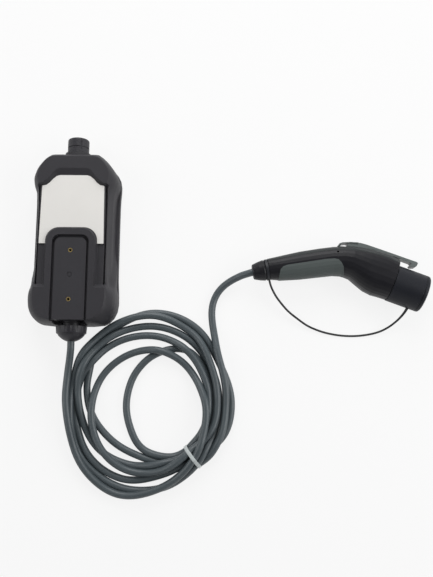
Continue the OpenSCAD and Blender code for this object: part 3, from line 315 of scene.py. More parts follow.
def moulded_finish(name, colour, rough, grain=900.0, grain_depth=0.2, mottle=0.06, gloss=0.5, soft_edge=0.0):
    """Moulded plastic or rubber: slight colour drift, uneven sheen and a fine grain."""
    material, tree, surface = node_graph(name)
    colour_drift(tree, surface, colour, mottle)
    uneven_sheen(tree, surface, rough)
    surface_grain(tree, surface, grain, grain_depth, soft_edge=soft_edge)
    surface.inputs["Specular IOR Level"].default_value = gloss
    return material


def metal_finish(name, colour, rough, stretch=(1, 1, 1), grain=700.0, grain_depth=0.1):
    """Turned, drawn or plated metal with fine marks along one way."""
    material, tree, surface = node_graph(name)
    colour_drift(tree, surface, colour, 0.08, 120.0, stretch)
    uneven_sheen(tree, surface, rough, 0.08, 300.0)
    surface_grain(tree, surface, grain, grain_depth, 0.0001, stretch)
    surface.inputs["Metallic"].default_value = 1.0
    return material


def clear_finish(name, colour, rough):
    """Clear or smoked plastic of a window or a light guide."""
    material, tree, surface = node_graph(name)
    colour_drift(tree, surface, colour, 0.05)
    uneven_sheen(tree, surface, rough, 0.03)
    surface.inputs["Transmission Weight"].default_value = 0.6
    surface.inputs["IOR"].default_value = 1.49
    return material


def give(obj, material):
    """Puts one material on every slot of a piece."""
    if not obj.material_slots:
        obj.data.materials.append(material)
    for slot in obj.material_slots:
        slot.material = material


def dress(material, *names):
    """Gives one material to each CAD part named."""
    for name in names:
        give(NODES[name], material)


# ---------------------------------------------------------------- lines and meshes

def curve_between(a, b, c, d, u):
    """Point between b and c on a smooth curve through four points."""
    return [
        0.5 * (2 * q + (r - p) * u + (2 * p - 5 * q + 4 * r - s) * u * u + (3 * q - p - 3 * r + s) * u ** 3)
        for p, q, r, s in zip(a, b, c, d)]


def through(points, steps):
    """Smooth curve through given points, with steps pieces between each two."""
    last = len(points) - 1
    line = []
    for i in range(last):
        a, b = points[max(i - 1, 0)], points[i]
        c, d = points[i + 1], points[min(i + 2, last)]
        line += [curve_between(a, b, c, d, k / steps) for k in range(steps)]
    return line + [list(points[-1])]


def evenly(line, gap):
    """The same line with its points a fixed gap apart."""
    line = np.array(line, float)
    run = np.concatenate([[0], np.cumsum(np.linalg.norm(np.diff(line, axis=0), axis=1))])
    count = int(round(run[-1] / gap))
    at = np.linspace(0, run[-1], count + 1)
    return np.stack([np.interp(at, run, line[:, k]) for k in range(line.shape[1])], axis=1)


def linked(name, data):
    """New object with this data, in the scene."""
    obj = bpy.data.objects.new(name, data)
    bpy.context.scene.collection.objects.link(obj)
    return obj


def new_piece(name, mesh, material, body):
    """Finished piece at the origin: linked, given its finish and slot, and attached to its body when one is named."""
    obj = linked(name, mesh)
    mesh.materials.append(material)
    if body:
        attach(obj, body)
    return obj


def mesh_from(name, bm, smooth_angle=35.0):
    """Mesh data from a bmesh in millimetres, with its faces pointing out and shaded smooth below an angle."""
    bmesh.ops.scale(bm, vec=(MM, MM, MM), verts=bm.verts)
    bmesh.ops.recalc_face_normals(bm, faces=bm.faces)
    for face in bm.faces:
        face.smooth = True
    for edge in bm.edges:
        edge.smooth = edge.calc_face_angle(0) < math.radians(smooth_angle)
    data = bpy.data.meshes.new(name)
    bm.to_mesh(data)
    bm.free()
    return data


def tube_mesh(name, route, radii, sides=12):
    """Closed tube along a route: a ring is carried from point to point and bridged to the next."""
    bm = bmesh.new()
    previous = None
    side = Vector((0, 0, 1))
    for i, place in enumerate(route):
        ahead = Vector(route[min(i + 1, len(route) - 1)])
        behind = Vector(route[max(i - 1, 0)])
        way = (ahead - behind).normalized()
        side = (side - way * side.dot(way)).normalized()
        turn = Matrix((side, way.cross(side), way)).transposed().to_4x4()
        turn.translation = Vector(place)
        ring = bmesh.ops.create_circle(bm, cap_ends=False, segments=sides, radius=radii[i], matrix=turn)["verts"]
        edges = list({e for v in ring for e in v.link_edges if all(w in ring for w in e.verts)})
        if previous:
            bmesh.ops.bridge_loops(bm, edges=previous + edges)
        else:
            bmesh.ops.contextual_create(bm, geom=edges)
        previous = edges
    bmesh.ops.contextual_create(bm, geom=previous)
    return mesh_from(name, bm)


def lofted(rings):
    """Closed solid through rings of equal count, in millimetres: each is laid out and bridged to the one before."""
    bm = bmesh.new()
    previous = None
    for places in rings:
        ring = bmesh.ops.create_circle(bm, cap_ends=False, segments=len(places), radius=1)["verts"]
        for vert, place in zip(ring, places):
            vert.co = place
        edges = list({e for v in ring for e in v.link_edges})
        if previous:
            bmesh.ops.bridge_loops(bm, edges=previous + edges)
        else:
            bmesh.ops.contextual_create(bm, geom=edges)
        previous = edges
    bmesh.ops.contextual_create(bm, geom=previous)
    return solid(bm)


def drum(middle, radius, depth, way="Z", sides=48):
    """Round solid about a point, along an axis, in millimetres."""
    turn = Vector((1 if way == "X" else 0, 1 if way == "Y" else 0, 1 if way == "Z" else 0)).to_track_quat("Z", "Y")
    bm = bmesh.new()
    bmesh.ops.create_cone(
        bm, cap_ends=True, segments=sides, radius1=radius, radius2=radius, depth=depth,
        matrix=Matrix.Translation(middle) @ turn.to_matrix().to_4x4())
    return solid(bm)


def turned(section, middle, axis, sides):
    """A closed half section, as places, turned once round an axis."""
    bm = bmesh.new()
    verts = [bm.verts.new(place) for place in section]
    edges = [bm.edges.new((verts[i - 1], verts[i])) for i in range(len(verts))]
    bmesh.ops.spin(
        bm, geom=verts + edges, cent=middle, axis=axis, angle=2 * math.pi, steps=sides, use_merge=True,
        use_duplicate=False)
    bmesh.ops.remove_doubles(bm, verts=bm.verts, dist=0.001)
    return bm


def spun(section):
    """Solid on the gland's axis, from a half section of radius and distance out of the end wall."""
    places = [(r, GLAND_Y - out, AXIS_Z) for r, out in section]
    return solid(turned(places, (0, GLAND_Y, AXIS_Z), (0, 1, 0), 64))


def block(low, high):
    """Box-shaped solid between two corners."""
    bm = bmesh.new()
    bmesh.ops.create_cube(bm, size=1)
    bmesh.ops.scale(bm, vec=Vector(high) - Vector(low), verts=bm.verts)
    bmesh.ops.translate(bm, vec=(Vector(high) + Vector(low)) / 2, verts=bm.verts)
    return solid(bm)


def solid(bm):
    """Mesh data from a bmesh, with its faces pointing out and its measures kept."""
    bmesh.ops.recalc_face_normals(bm, faces=bm.faces)
    data = bpy.data.meshes.new("solid")
    bm.to_mesh(data)
    bm.free()
    return data


def carved(mesh, *steps):
    """The solid after boolean steps in turn, each an operation and the solid that it takes away or joins."""
    obj = linked("carving", mesh)
    tools = [obj]
    for operation, tool in steps:
        cutter = linked("cutter", tool)
        modifier = obj.modifiers.new(operation, "BOOLEAN")
        modifier.operation = operation
        modifier.solver = "EXACT"
        modifier.object = cutter
        tools.append(cutter)
    result = bpy.data.meshes.new_from_object(obj.evaluated_get(bpy.context.evaluated_depsgraph_get()))
    for item in tools:
        data = item.data
        bpy.data.objects.remove(item)
        bpy.data.meshes.remove(data)
    return result


def finished(name, mesh, smooth_angle):
    """A carved solid made ready: doubles merged, flat faces cleaned, in metres."""
    bm = bmesh.new()
    bm.from_mesh(mesh)
    bpy.data.meshes.remove(mesh)
    bmesh.ops.remove_doubles(bm, verts=bm.verts, dist=0.01)
    bmesh.ops.dissolve_degenerate(bm, edges=bm.edges, dist=0.005)
    return mesh_from(name, bm, smooth_angle)


# ---------------------------------------------------------------- the control box

def mirrored(side):
    """The other half of an outline, run back the other way."""
    return [(-x, y, z) for x, y, z in reversed(side) if x > 0.001]


def box_ring(z, inset=0.0):
    """Outline of the box's back at a height, once round from the gland end."""
    share = min(max((z - FRONT_H) / BACK_H, 0), 1)
    t = float(np.interp(share, HEIGHTS, TAPER))
    full = float(np.interp(share, HEIGHTS, STEP))
    side = []
    for wide_x, wide_y, back_x, back_y, dip, foot in through(BOX_SIDE, 3):
        reach = min(max(1 + (share - foot) / RAMP, 0), 1)
        x = (wide_x * (1 - t) + back_x * t) * CASE_W / 2 - dip * WAIST * (JOINT_STEP * (1 - reach) + full * reach)
        y = (wide_y * (1 - t) + back_y * t) * CASE_L / 2
        side.append((max(x, 0) * (1 - 2 * inset / CASE_W), CASE_Y + y * (1 - 2 * inset / CASE_L), z))
    return side + mirrored(side)


def door_ring(form, z, grow=0.0):
    """Door-shaped outline that starts beyond the gland end: its width, where its top lies, and its corners."""
    width, top, radius = form
    half = width / 2 + grow
    corner = [
        (half - radius + radius * math.cos(a), top + grow - radius + radius * math.sin(a), z)
        for a in np.linspace(0, math.pi / 2, 13)]
    side = [(half, GLAND_Y - 4, z)] + corner
    return side + [(-x, y, z) for x, y, z in reversed(side)]


def rail_solid(low, high, grow=0.0):
    """The rail between two heights, with its drafted sides."""
    return lofted([door_ring(RAIL, z, grow + RAIL_DRAFT * (TOP_Z - z)) for z in (low, high)])


def field_ring(level, z, reach, foot, drop=0.0):
    """Outline of the label field at its floor or its head: its upper edge, down to the foot at either side."""
    side = [(reach, foot, z)]
    if reach > CASE_W / 2:
        side.append((reach, CASE_Y + FIELD_EDGE[0][level][1] * CASE_L / 2, z))
    side += [(row[level][0] * CASE_W / 2, CASE_Y + row[level][1] * CASE_L / 2 - drop, z) for row in FIELD_EDGE]
    return side + mirrored(side)


def above(ring, form, low, high):
    """Solid of one outline between two heights."""
    return lofted([ring(form, z) for z in (low, high)])


def cuts(*tools):
    """Boolean steps that take each tool away in turn."""
    return [("DIFFERENCE", tool) for tool in tools]


def sunk_field():
    """What the label field and the wings take away: everything over them but the rail."""
    wide = 0.6 * CASE_W
    foot = [CASE_Y + share * CASE_L / 2 for share in FIELD_FOOT]
    field = lofted([
        field_ring(0, FIELD_Z, wide, foot[0]), field_ring(1, TOP_Z, wide, foot[1]),
        field_ring(1, TOP_Z + 3, wide, foot[1])])
    wings = block((-wide, WING_Y[0], WING_Z), (wide, WING_Y[1], TOP_Z + 3))
    return carved(field, ("UNION", wings), *cuts(rail_solid(WING_Z - 2, TOP_Z + 4)))


def hollow(levels):
    """Inside of the back: an even wall, a pad behind the gland and four screw posts."""
    rings = [box_ring(z, WALL) for z in levels if z < HOLLOW_Z]
    room = lofted(rings + [box_ring(FIELD_Z - HOLLOW_TOP[0], HOLLOW_TOP[1])])
    pad = block((-GLAND_PAD[0], GLAND_Y - 4, 10), (GLAND_PAD[0], RECESS[1] + GLAND_PAD[1], 60))
    posts = [
        drum((x, CASE_Y + y, 40), POST[2], 60) for x in (-POST[0], POST[0]) for y in (-POST[1], POST[1])]
    return carved(room, *cuts(pad, *posts))


def make_shell(settings):
    """The box's moulded back."""
    plastic = moulded_finish("shell_plastic", settings.colour, 0.55, 1400, 0.3, 0.05, gloss=0.3, soft_edge=0.0006)
    levels = sorted({FRONT_H + BACK_H * share for share in HEIGHTS + MORE_HEIGHTS})
    sunk = sunk_field()
    channel = carved(
        above(door_ring, CHANNEL, CHANNEL_Z, TOP_Z + 3), *cuts(above(door_ring, TONGUE, CHANNEL_Z - 2, TONGUE_Z)))
    centre = (0, sum(INSERT_Y) / 2, TONGUE_Z)
    mark = carved(drum(centre, MARK[0], 1.2), *cuts(drum(centre, MARK[1], 3)))
    inlet_pad = carved(
        drum((0, INLET_Y - 2, AXIS_Z), INLET_PAD, 4, "Y"),
        ("INTERSECT", block((-30, 0, FRONT_H), (30, INLET_Y + 9, TOP_Z))))
    grooves = [
        block((near, GROOVE_Y[0], GROOVE_Z[0]), (far, GROOVE_Y[1], GROOVE_Z[1]))
        for near, far in ((-GROOVE_X[1], -GROOVE_X[0]), GROOVE_X)]
    recess = block((-RECESS[0], GLAND_Y - 4, RECESS[2]), (RECESS[0], RECESS[1], TOP_Z + 3))
    inserts = [drum((0, y, TONGUE_Z), INSERT_HOLE, 16) for y in INSERT_Y]
    bores = [drum((0, y, AXIS_Z), BORE, 24, "Y") for y in (GLAND_Y, INLET_Y)]
    mesh = carved(
        lofted([box_ring(z) for z in levels]), ("UNION", inlet_pad),
        *cuts(hollow(levels), sunk, channel, mark, *grooves, recess, *inserts, *bores))
    shell = new_piece("back_shell", finished("back_shell", mesh, 24), plastic, "charger")
    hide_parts("back_housing")


def make_label(settings):
    """The blank label, in the field beyond the rail."""
    film = moulded_finish("label_film", settings.label, 0.38, 300, 0.05, 0.012)
    mesh = carved(
        lofted([field_ring(0, z, LABEL_X, WING_Y[1], LABEL_GAP) for z in (FIELD_Z, FIELD_Z + LABEL_T)]),
        *cuts(rail_solid(FIELD_Z - 2, FIELD_Z + 2, LABEL_GAP)))
    label = new_piece("label_sheet", finished("label_sheet", mesh, 24), film, "charger")
    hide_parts("blank_label")


def make_gland():
    """The gland's neck and its domed, fluted nut."""
    dark = moulded_finish("gland_shell_plastic", tone(42, 41, 46), 0.45, 800, 0.12, 0.05, gloss=0.4, soft_edge=0.0004)
    neck = new_piece("gland_neck", finished("gland_neck", spun(NECK), 30), dark, "charger")
    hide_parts("gland_body")
    out, radius, depth = FLUTE
    flutes = bmesh.new()
    for k in range(NUT_RIBS):
        turn = Matrix.Rotation(2 * math.pi * (k + 0.5) / NUT_RIBS, 4, "Y")
        at = Matrix.Translation((0, GLAND_Y - 6, AXIS_Z)) @ turn @ Matrix.Translation((out, 0, 0))
        bmesh.ops.create_cone(
            flutes, cap_ends=True, segments=12, radius1=radius, radius2=radius, depth=depth,
            matrix=at @ Matrix.Rotation(math.pi / 2, 4, "X"))
    dome = finished("gland_dome", carved(spun(NUT), *cuts(solid(flutes))), 30)
    nut = new_piece("gland_dome", dome, dark, "charger")
    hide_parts("gland_nut")


# ---------------------------------------------------------------- the lead and its coil

def lead_route(diameter):
    """Centreline of the whole lead in millimetres: free end, coil turns that lie on one another, free end."""
    polar = [(a, r, 7) for a, r in FIRST_TURN]
    for turn, (layer, radii) in enumerate(TURNS):
        for k, r in enumerate(radii):
            polar.append((COIL_START + 360 * (turn + 1) + 30 * k, r, layer if k else layer + 0.5))
    turn_end = 360 * len(TURNS)
    polar += [(a + turn_end, r, 1.5) for a, r in LAST_TURN]
    flat = [(COIL_CENTRE[0] + r * math.cos(math.radians(a)), COIL_CENTRE[1] + r * math.sin(math.radians(a)), layer)
            for a, r, layer in polar]
    free_in = [(x, y, 7) for x, y, z in LEAD_IN]
    free_out = [(x, y, 1.5) for x, y, z in LEAD_OUT]
    line = evenly(through(free_in + flat + free_out, 12), SETTLE_GAP)
    start = evenly(through(LEAD_IN, 12), SETTLE_GAP)
    end = evenly(through(LEAD_OUT, 12), SETTLE_GAP)
    route = settle(line[:, :2], line[:, 2], start, end, diameter)
    return evenly(through([list(p) for p in route], 3), ROUTE_STEP)


def settle(plan, layer, start, end, diameter):
    """Lets the turns sink on to the floor and each other: they push apart where they touch and bend gently."""
    count = len(plan)
    floor = diameter / 2
    z = floor + (layer - layer.min()) * diameter * 0.5
    z[:len(start)] = start[:, 2]
    z[-len(end):] = end[:, 2]
    held = np.zeros(count, bool)
    held[:HELD_IN] = True
    held[-HELD_OUT:] = True
    place = np.column_stack([plan, z])
    home = place.copy()
    order = np.arange(count)
    apart = np.abs(order[:, None] - order[None]) * SETTLE_GAP > 2.2 * diameter
    near = np.linalg.norm(plan[:, None] - plan[None], axis=2) < 3 * diameter
    a, b = np.nonzero(np.triu(apart & near))
    upper = np.sign(layer[a] - layer[b])
    for step in range(SETTLE_STEPS):
        place[:, 2] -= SINK if step < SETTLE_STEPS - CALM_STEPS else SINK / 5
        for _ in range(2):
            push_apart(place, a, b, upper, diameter)
            place[:, 2] = np.maximum(place[:, 2], floor)
        place[:, :2] += HOMING * (plan - place[:, :2])
        even = (place[:-2] + place[2:]) / 2 - place[1:-1]
        beam = (4 * (place[1:-3] + place[3:-1]) - place[:-4] - place[4:]) / 6 - place[2:-2]
        place[1:-1] += even * EVENING
        place[2:-2, 2] += STIFFNESS * beam[:, 2]
        place[:, 2] = np.maximum(place[:, 2], floor)
        place[held] = home[held]
    return place


def push_apart(place, a, b, upper, diameter):
    """Moves each pair of points that is closer than a diameter half the way apart."""
    delta = place[a] - place[b]
    level = np.abs(delta[:, 2]) < 2.0
    delta[:, 2] = np.where(level, upper * 2.0, delta[:, 2])
    gap = np.linalg.norm(delta, axis=1) + 1e-6
    deep = np.where(gap < diameter, (diameter - gap) / gap, 0.0)
    push = deep[:, None] * delta
    move = np.zeros_like(place)
    np.add.at(move, a, push)
    np.add.at(move, b, -push)
    hits = np.bincount(a[deep > 0], minlength=len(place)) + np.bincount(b[deep > 0], minlength=len(place))
    place += 0.5 * move / np.maximum(hits, 1)[:, None] ** 0.5


def round_cord(name, route, diameter, material, sides):
    """Curve with a round section along a route in millimetres."""
    data = bpy.data.curves.new(name, "CURVE")
    data.dimensions = "3D"
    data.bevel_depth = diameter / 2 * MM
    data.bevel_resolution = sides // 4
    data.use_fill_caps = True
    spline = data.splines.new("POLY")
    spline.points.add(len(route) - 1)
    for point, place in zip(spline.points, route):
        point.co = (*[c * MM for c in place], 1)
    spline.use_smooth = True
    data.materials.append(material)
    return linked(name, data)


def make_lead(settings):
    """The charging lead from the gland to the connector, coiled."""
    diameter = settings.diameter / MM
    jacket = moulded_finish("cable_jacket", settings.colour, 0.4, grain=500, grain_depth=0.12, mottle=0.05)
    route = lead_route(diameter)
    lead = round_cord("charging_lead", route, diameter, jacket, 20)
    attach(lead, "charger")
    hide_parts("cable_lead_in", "cable_coil", "cable_lead_out")
    carried = [NODES[name] for name in (*CONNECTOR_NODES, "latch_lever", "dust_cap")]
    carried.append(bpy.data.objects["tie_strap"])


def make_tether():
    """The cap's tether: a soft strap from the neck ring to the cap, thicker at the cap."""
    rubber = moulded_finish("tether_rubber", tone(34, 34, 36), 0.5, grain=700, grain_depth=0.15)
    route = evenly(through(TETHER, 8), ROUTE_STEP)
    share = np.linspace(0, 1, len(route))
    radii = [1.4 + 0.5 * max(0.0, s - 0.9) / 0.1 for s in share]
    data = tube_mesh("cap_tether_strap", [Vector(p) for p in route], radii, 14)
    strap = new_piece("cap_tether_strap", data, rubber, None)
    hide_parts("cap_tether")
    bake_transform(strap)


def plate(shares, width):
    """Flat solid of the connector: an outline in shares of its length, as thick as given, about its middle plane."""
    ring = [(GUN.x + x * GUN_L, GUN.y + y * GUN_L) for x, y in reversed(shares)]
    return lofted([[(x, y, GUN.z + side * width / 2) for x, y in ring] for side in (-1, 1)])


def make_lever(settings):
    """The latch lever: a hooked arm with an eye, and a wider thumb pad at its rear."""
    grey = moulded_finish("lever_shell_plastic", settings.lever, 0.35, 900, 0.08, 0.04, soft_edge=0.0005)
    pivot = GUN + Vector((*PIVOT, 0)) * GUN_L
    mesh = carved(
        plate(LEVER, LEVER_T), ("UNION", plate(LEVER_PAD, PAD_T)), ("UNION", drum(pivot, BOSS_R, LEVER_T)),
        ("UNION", block(pivot - Vector((BOSS_R, 0, LEVER_T / 2)), pivot + Vector((BOSS_R, 7, LEVER_T / 2)))),
        *cuts(plate(LEVER_EYE, 2 * PAD_T), drum(pivot, PIN_R, 2 * PAD_T)))
    lever = new_piece("lever_shell", finished("lever_shell", mesh, 26), grey, "lever")
    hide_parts("latch_lever")


def make_cap(settings):
    """The dust cap: a round cup over the barrel, with a groove behind its rim."""
    rubber = moulded_finish("cap_shell_rubber", settings.cap, 0.48, 900, 0.15, 0.05, gloss=0.26, soft_edge=0.0005)
    bm = turned([(along, 0, r) for r, along in CAP], (0, 0, 0), (1, 0, 0), 96)
    at_nose = Matrix.Translation(GUN + Vector((*NOSE_AT, 0))) @ Matrix.Rotation(-NOSE_ANGLE, 4, "Z")
    bmesh.ops.transform(bm, verts=bm.verts, matrix=at_nose)
    cap = new_piece("cap_shell", mesh_from("cap_shell", bm, 30), rubber, "cap")
    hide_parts("dust_cap")


def make_tie(settings):
    """The pale tie round the bundle: a flat strap pulled tight round the strands, with softened edges."""
    nylon = moulded_finish("tie_nylon", settings.tie_colour, 0.38, grain=700, grain_depth=0.06, mottle=0.04)
    along = Vector((math.cos(TIE_ANGLE), math.sin(TIE_ANGLE), 0))
    across = Vector((along.y, -along.x, 0))
    middle = Vector((*TIE_AT, 0))
    diameter = settings.diameter / MM
    strands = crossings([Vector(p) for p in lead_route(diameter)], middle, along, across)
    hull = hull_round(strands, diameter / 2 + TIE_T / 2)
    lowest = TIE_T * 0.55
    path = [middle + across * u + Vector((0, 0, max(v, lowest))) for u, v in evenly(hull + hull[:1], TIE_STEP)[:-1]]
    strap = new_piece("tie_strap", strap_mesh("tie_strap", path, along, TIE_W, TIE_T), nylon, "charger")
    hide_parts("coil_tie")


def strap_mesh(name, path, edge_way, width, thick):
    """Closed flat strap along a loop that lies in one plane: rectangles are bridged round it, then bevelled."""
    bm = bmesh.new()
    loops = []
    for i, place in enumerate(path):
        way = (path[(i + 1) % len(path)] - path[i - 1]).normalized()
        turn = Matrix((edge_way * width / 2, way.cross(edge_way) * thick / 2, way)).transposed().to_4x4()
        turn.translation = place
        ring = bmesh.ops.create_circle(
            bm, segments=4, radius=math.sqrt(2), matrix=turn @ Matrix.Rotation(math.pi / 4, 4, "Z"))["verts"]
        loops.append(list({e for v in ring for e in v.link_edges}))
    for k in range(len(loops)):
        bmesh.ops.bridge_loops(bm, edges=loops[k - 1] + loops[k])
    bmesh.ops.recalc_face_normals(bm, faces=bm.faces)
    corners = [e for e in bm.edges if e.calc_face_angle(0) > math.radians(70)]
    bmesh.ops.bevel(
        bm, geom=corners, offset=thick * 0.3, segments=2, profile=0.5, affect="EDGES", material=-1)
    return mesh_from(name, bm, 40)


def crossings(route, middle, along, across):
    """Where the route passes through the tie's plane near the bundle, as places across it and above the floor."""
    places = []
    for a, b in zip(route, route[1:]):
        before, after = (a - middle).dot(along), (b - middle).dot(along)
        if before * after <= 0 and before != after:
            at = a.lerp(b, before / (before - after))
            u = (at - middle).dot(across)
            if abs(u) < TIE_REACH:
                places.append((u, at.z))
    return places


def hull_round(places, reach):
    """Outline of a strap pulled tight round circles at these places, as points that run once round."""
    cloud = sorted(
        (u + reach * math.cos(math.radians(a)), v + reach * math.sin(math.radians(a)))
        for u, v in places for a in range(0, 360, 10))
    outline = []
    for ordered in (cloud, cloud[::-1]):
        chain = []
        for p in ordered:
            while len(chain) > 1 and turn_of(chain[-2], chain[-1], p) <= 0:
                chain.pop()
            chain.append(p)
        outline += chain[:-1]
    return outline


def turn_of(a, b, c):
    """Which way a path through three places turns: above 0 to the left."""
    return (b[0] - a[0]) * (c[1] - a[1]) - (b[1] - a[1]) * (c[0] - a[0])


# ---------------------------------------------------------------- stage

def white_to_view(tree, surface, share):
    """Lets the floor look white, with a faint shadow left, to rays that come from the camera, metal or glass."""
    rays = tree.nodes.new("ShaderNodeLightPath")
    seen = rays.outputs["Is Camera Ray"]
    for kind in ("Is Glossy Ray", "Is Transmission Ray"):
        either = tree.nodes.new("ShaderNodeMath")
        either.operation = "MAXIMUM"
        tree.links.new(seen, either.inputs[0])
        tree.links.new(rays.outputs[kind], either.inputs[1])
        seen = either.outputs[0]
    part = tree.nodes.new("ShaderNodeMath")
    part.operation = "MULTIPLY"
    part.inputs[1].default_value = share
    tree.links.new(seen, part.inputs[0])
    glow = tree.nodes.new("ShaderNodeEmission")
    mix = tree.nodes.new("ShaderNodeMixShader")
    tree.links.new(part.outputs[0], mix.inputs["Fac"])
    tree.links.new(surface.outputs["BSDF"], mix.inputs[1])
    tree.links.new(glow.outputs["Emission"], mix.inputs[2])
    tree.links.new(mix.outputs["Shader"], tree.nodes["Material Output"].inputs["Surface"])


def make_camera():
    """Camera of the photograph."""
    data = bpy.data.cameras.new("camera")
    data.lens = LENS
    camera = linked("camera", data)
    camera.location = CAMERA_AT
    camera.rotation_euler = [math.radians(turn) for turn in CAMERA_TURN]
    bpy.context.scene.camera = camera


def make_floor(settings):
    """Pale floor that curves up far out as a backdrop."""
    paper, tree, surface = node_graph("floor_paper")
    colour_drift(tree, surface, [settings.floor] * 3, 0.004, 6.0)
    surface.inputs["Roughness"].default_value = 0.7
    white_to_view(tree, surface, settings.whiteness)
    bm = bmesh.new()
    bmesh.ops.create_circle(bm, cap_ends=True, segments=96, radius=FLOOR_R)
    rim = bmesh.ops.extrude_edge_only(bm, edges=[e for e in bm.edges if e.is_boundary])["geom"]
    bmesh.ops.translate(bm, vec=(0, 0, BACKDROP), verts=[v for v in rim if isinstance(v, bmesh.types.BMVert)])
    foot = [e for e in bm.edges if not e.is_boundary and all(v.co.z < 0.1 for v in e.verts)]
    bmesh.ops.bevel(bm, geom=foot, offset=BEND, segments=8, profile=0.5, affect="EDGES", material=-1)
    bmesh.ops.recalc_face_normals(bm, faces=bm.faces)
    bmesh.ops.reverse_faces(bm, faces=[f for f in bm.faces if f.normal.z < -0.5])
    for face in bm.faces:
        face.smooth = True
    data = bpy.data.meshes.new("floor")
    bm.to_mesh(data)
    bm.free()
    data.materials.append(paper)
    linked("floor", data)


def make_lights(settings):
    """Soft studio light: a dim white world and four soft boxes."""
    scene = bpy.context.scene
    scene.world = bpy.data.worlds.new("studio")
    scene.world.use_nodes = True
    background = scene.world.node_tree.nodes["Background"]
    background.inputs["Color"].default_value = (1, 1, 1, 1)
    background.inputs["Strength"].default_value = settings.fill
    for name, at, size, power in LAMPS:
        light = bpy.data.lights.new(name, "AREA")
        light.energy = power * settings.lamps
        light.size = size
        lamp = linked(name, light)
        lamp.location = at
        lamp.rotation_euler = (Vector(AIM) - Vector(at)).to_track_quat("-Z", "Y").to_euler()
    scene.view_settings.view_transform = "Standard"


# ---------------------------------------------------------------- settings, operators and panel

class BoxSettings(bpy.types.PropertyGroup):
    colour: bpy.props.FloatVectorProperty(
        name="Housing colour", description="Colour of the moulded back of the box", default=tone(50, 49, 53), size=3,
        subtype="COLOR", min=0, max=1)
    label: bpy.props.FloatVectorProperty(
        name="Label colour", description="Colour of the blank label", default=tone(233, 231, 227), size=3,
        subtype="COLOR", min=0, max=1)


class ConnectorSettings(bpy.types.PropertyGroup):
    lever: bpy.props.FloatVectorProperty(
        name="Lever colour", description="Colour of the latch lever", default=tone(98, 104, 103), size=3,
        subtype="COLOR", min=0, max=1)
    cap: bpy.props.FloatVectorProperty(
        name="Cap colour", description="Colour of the dust cap", default=tone(25, 27, 34), size=3,
        subtype="COLOR", min=0, max=1)


class LeadSettings(bpy.types.PropertyGroup):
    diameter: bpy.props.FloatProperty(
        name="Diameter", description="Outside diameter of the charging lead", default=0.0096, min=0.006, max=0.02,
        unit="LENGTH")
    colour: bpy.props.FloatVectorProperty(
        name="Jacket colour", description="Colour of the lead's jacket", default=tone(76, 84, 88), size=3,
        subtype="COLOR", min=0, max=1)
    tie_colour: bpy.props.FloatVectorProperty(
        name="Tie colour", description="Colour of the tie round the coil", default=tone(196, 203, 203), size=3,
        subtype="COLOR", min=0, max=1)


class StageSettings(bpy.types.PropertyGroup):
    floor: bpy.props.FloatProperty(
        name="Floor shade", description="How pale the floor is", default=0.8, min=0, max=1, subtype="FACTOR")
    whiteness: bpy.props.FloatProperty(
        name="Floor whiteness", description="How far the camera sees the floor as white", default=0.84, min=0, max=1,
        subtype="FACTOR")
    fill: bpy.props.FloatProperty(
        name="Fill light", description="Strength of the light from all round", default=0.13, min=0, max=2)
    lamps: bpy.props.FloatProperty(
        name="Lamp power", description="Power of the soft boxes against their own setting", default=1.0, min=0,
        max=4)


class EVC_OT_control_box(bpy.types.Operator):
    """Make the back of the control box with its label and gland"""
    bl_idname = "ev_charger.control_box"
    bl_label = "Control box"

    def execute(self, context):
        make_shell(context.scene.charger_box)
        make_label(context.scene.charger_box)
        make_gland()
        return {"FINISHED"}


class EVC_OT_charging_lead(bpy.types.Operator):
    """Make the coiled charging lead"""
    bl_idname = "ev_charger.charging_lead"
    bl_label = "Charging lead"

    def execute(self, context):
        make_lead(context.scene.charger_lead)
        return {"FINISHED"}


class EVC_OT_coil_tie(bpy.types.Operator):
    """Make the tie round the coil"""
    bl_idname = "ev_charger.coil_tie"
    bl_label = "Coil tie"

    def execute(self, context):
        make_tie(context.scene.charger_lead)
        return {"FINISHED"}


class EVC_OT_latch_and_cap(bpy.types.Operator):
    """Make the latch lever and the dust cap"""
    bl_idname = "ev_charger.latch_and_cap"
    bl_label = "Latch lever and dust cap"

    def execute(self, context):
        make_lever(context.scene.charger_connector)
        make_cap(context.scene.charger_connector)
        return {"FINISHED"}


class EVC_OT_cap_tether(bpy.types.Operator):
    """Make the dust cap's tether"""
    bl_idname = "ev_charger.cap_tether"
    bl_label = "Cap tether"

    def execute(self, context):
        make_tether()
        return {"FINISHED"}


class EVC_OT_finishes(bpy.types.Operator):
    """Give the CAD parts their finishes"""
    bl_idname = "ev_charger.finishes"
    bl_label = "Finishes"

    def execute(self, context):
        make_finishes()
        return {"FINISHED"}


class EVC_OT_stage(bpy.types.Operator):
    """Set up the camera, floor and lights"""
    bl_idname = "ev_charger.stage"
    bl_label = "Stage"

    def execute(self, context):
        make_camera()
        make_floor(context.scene.charger_stage)
        make_lights(context.scene.charger_stage)
        return {"FINISHED"}


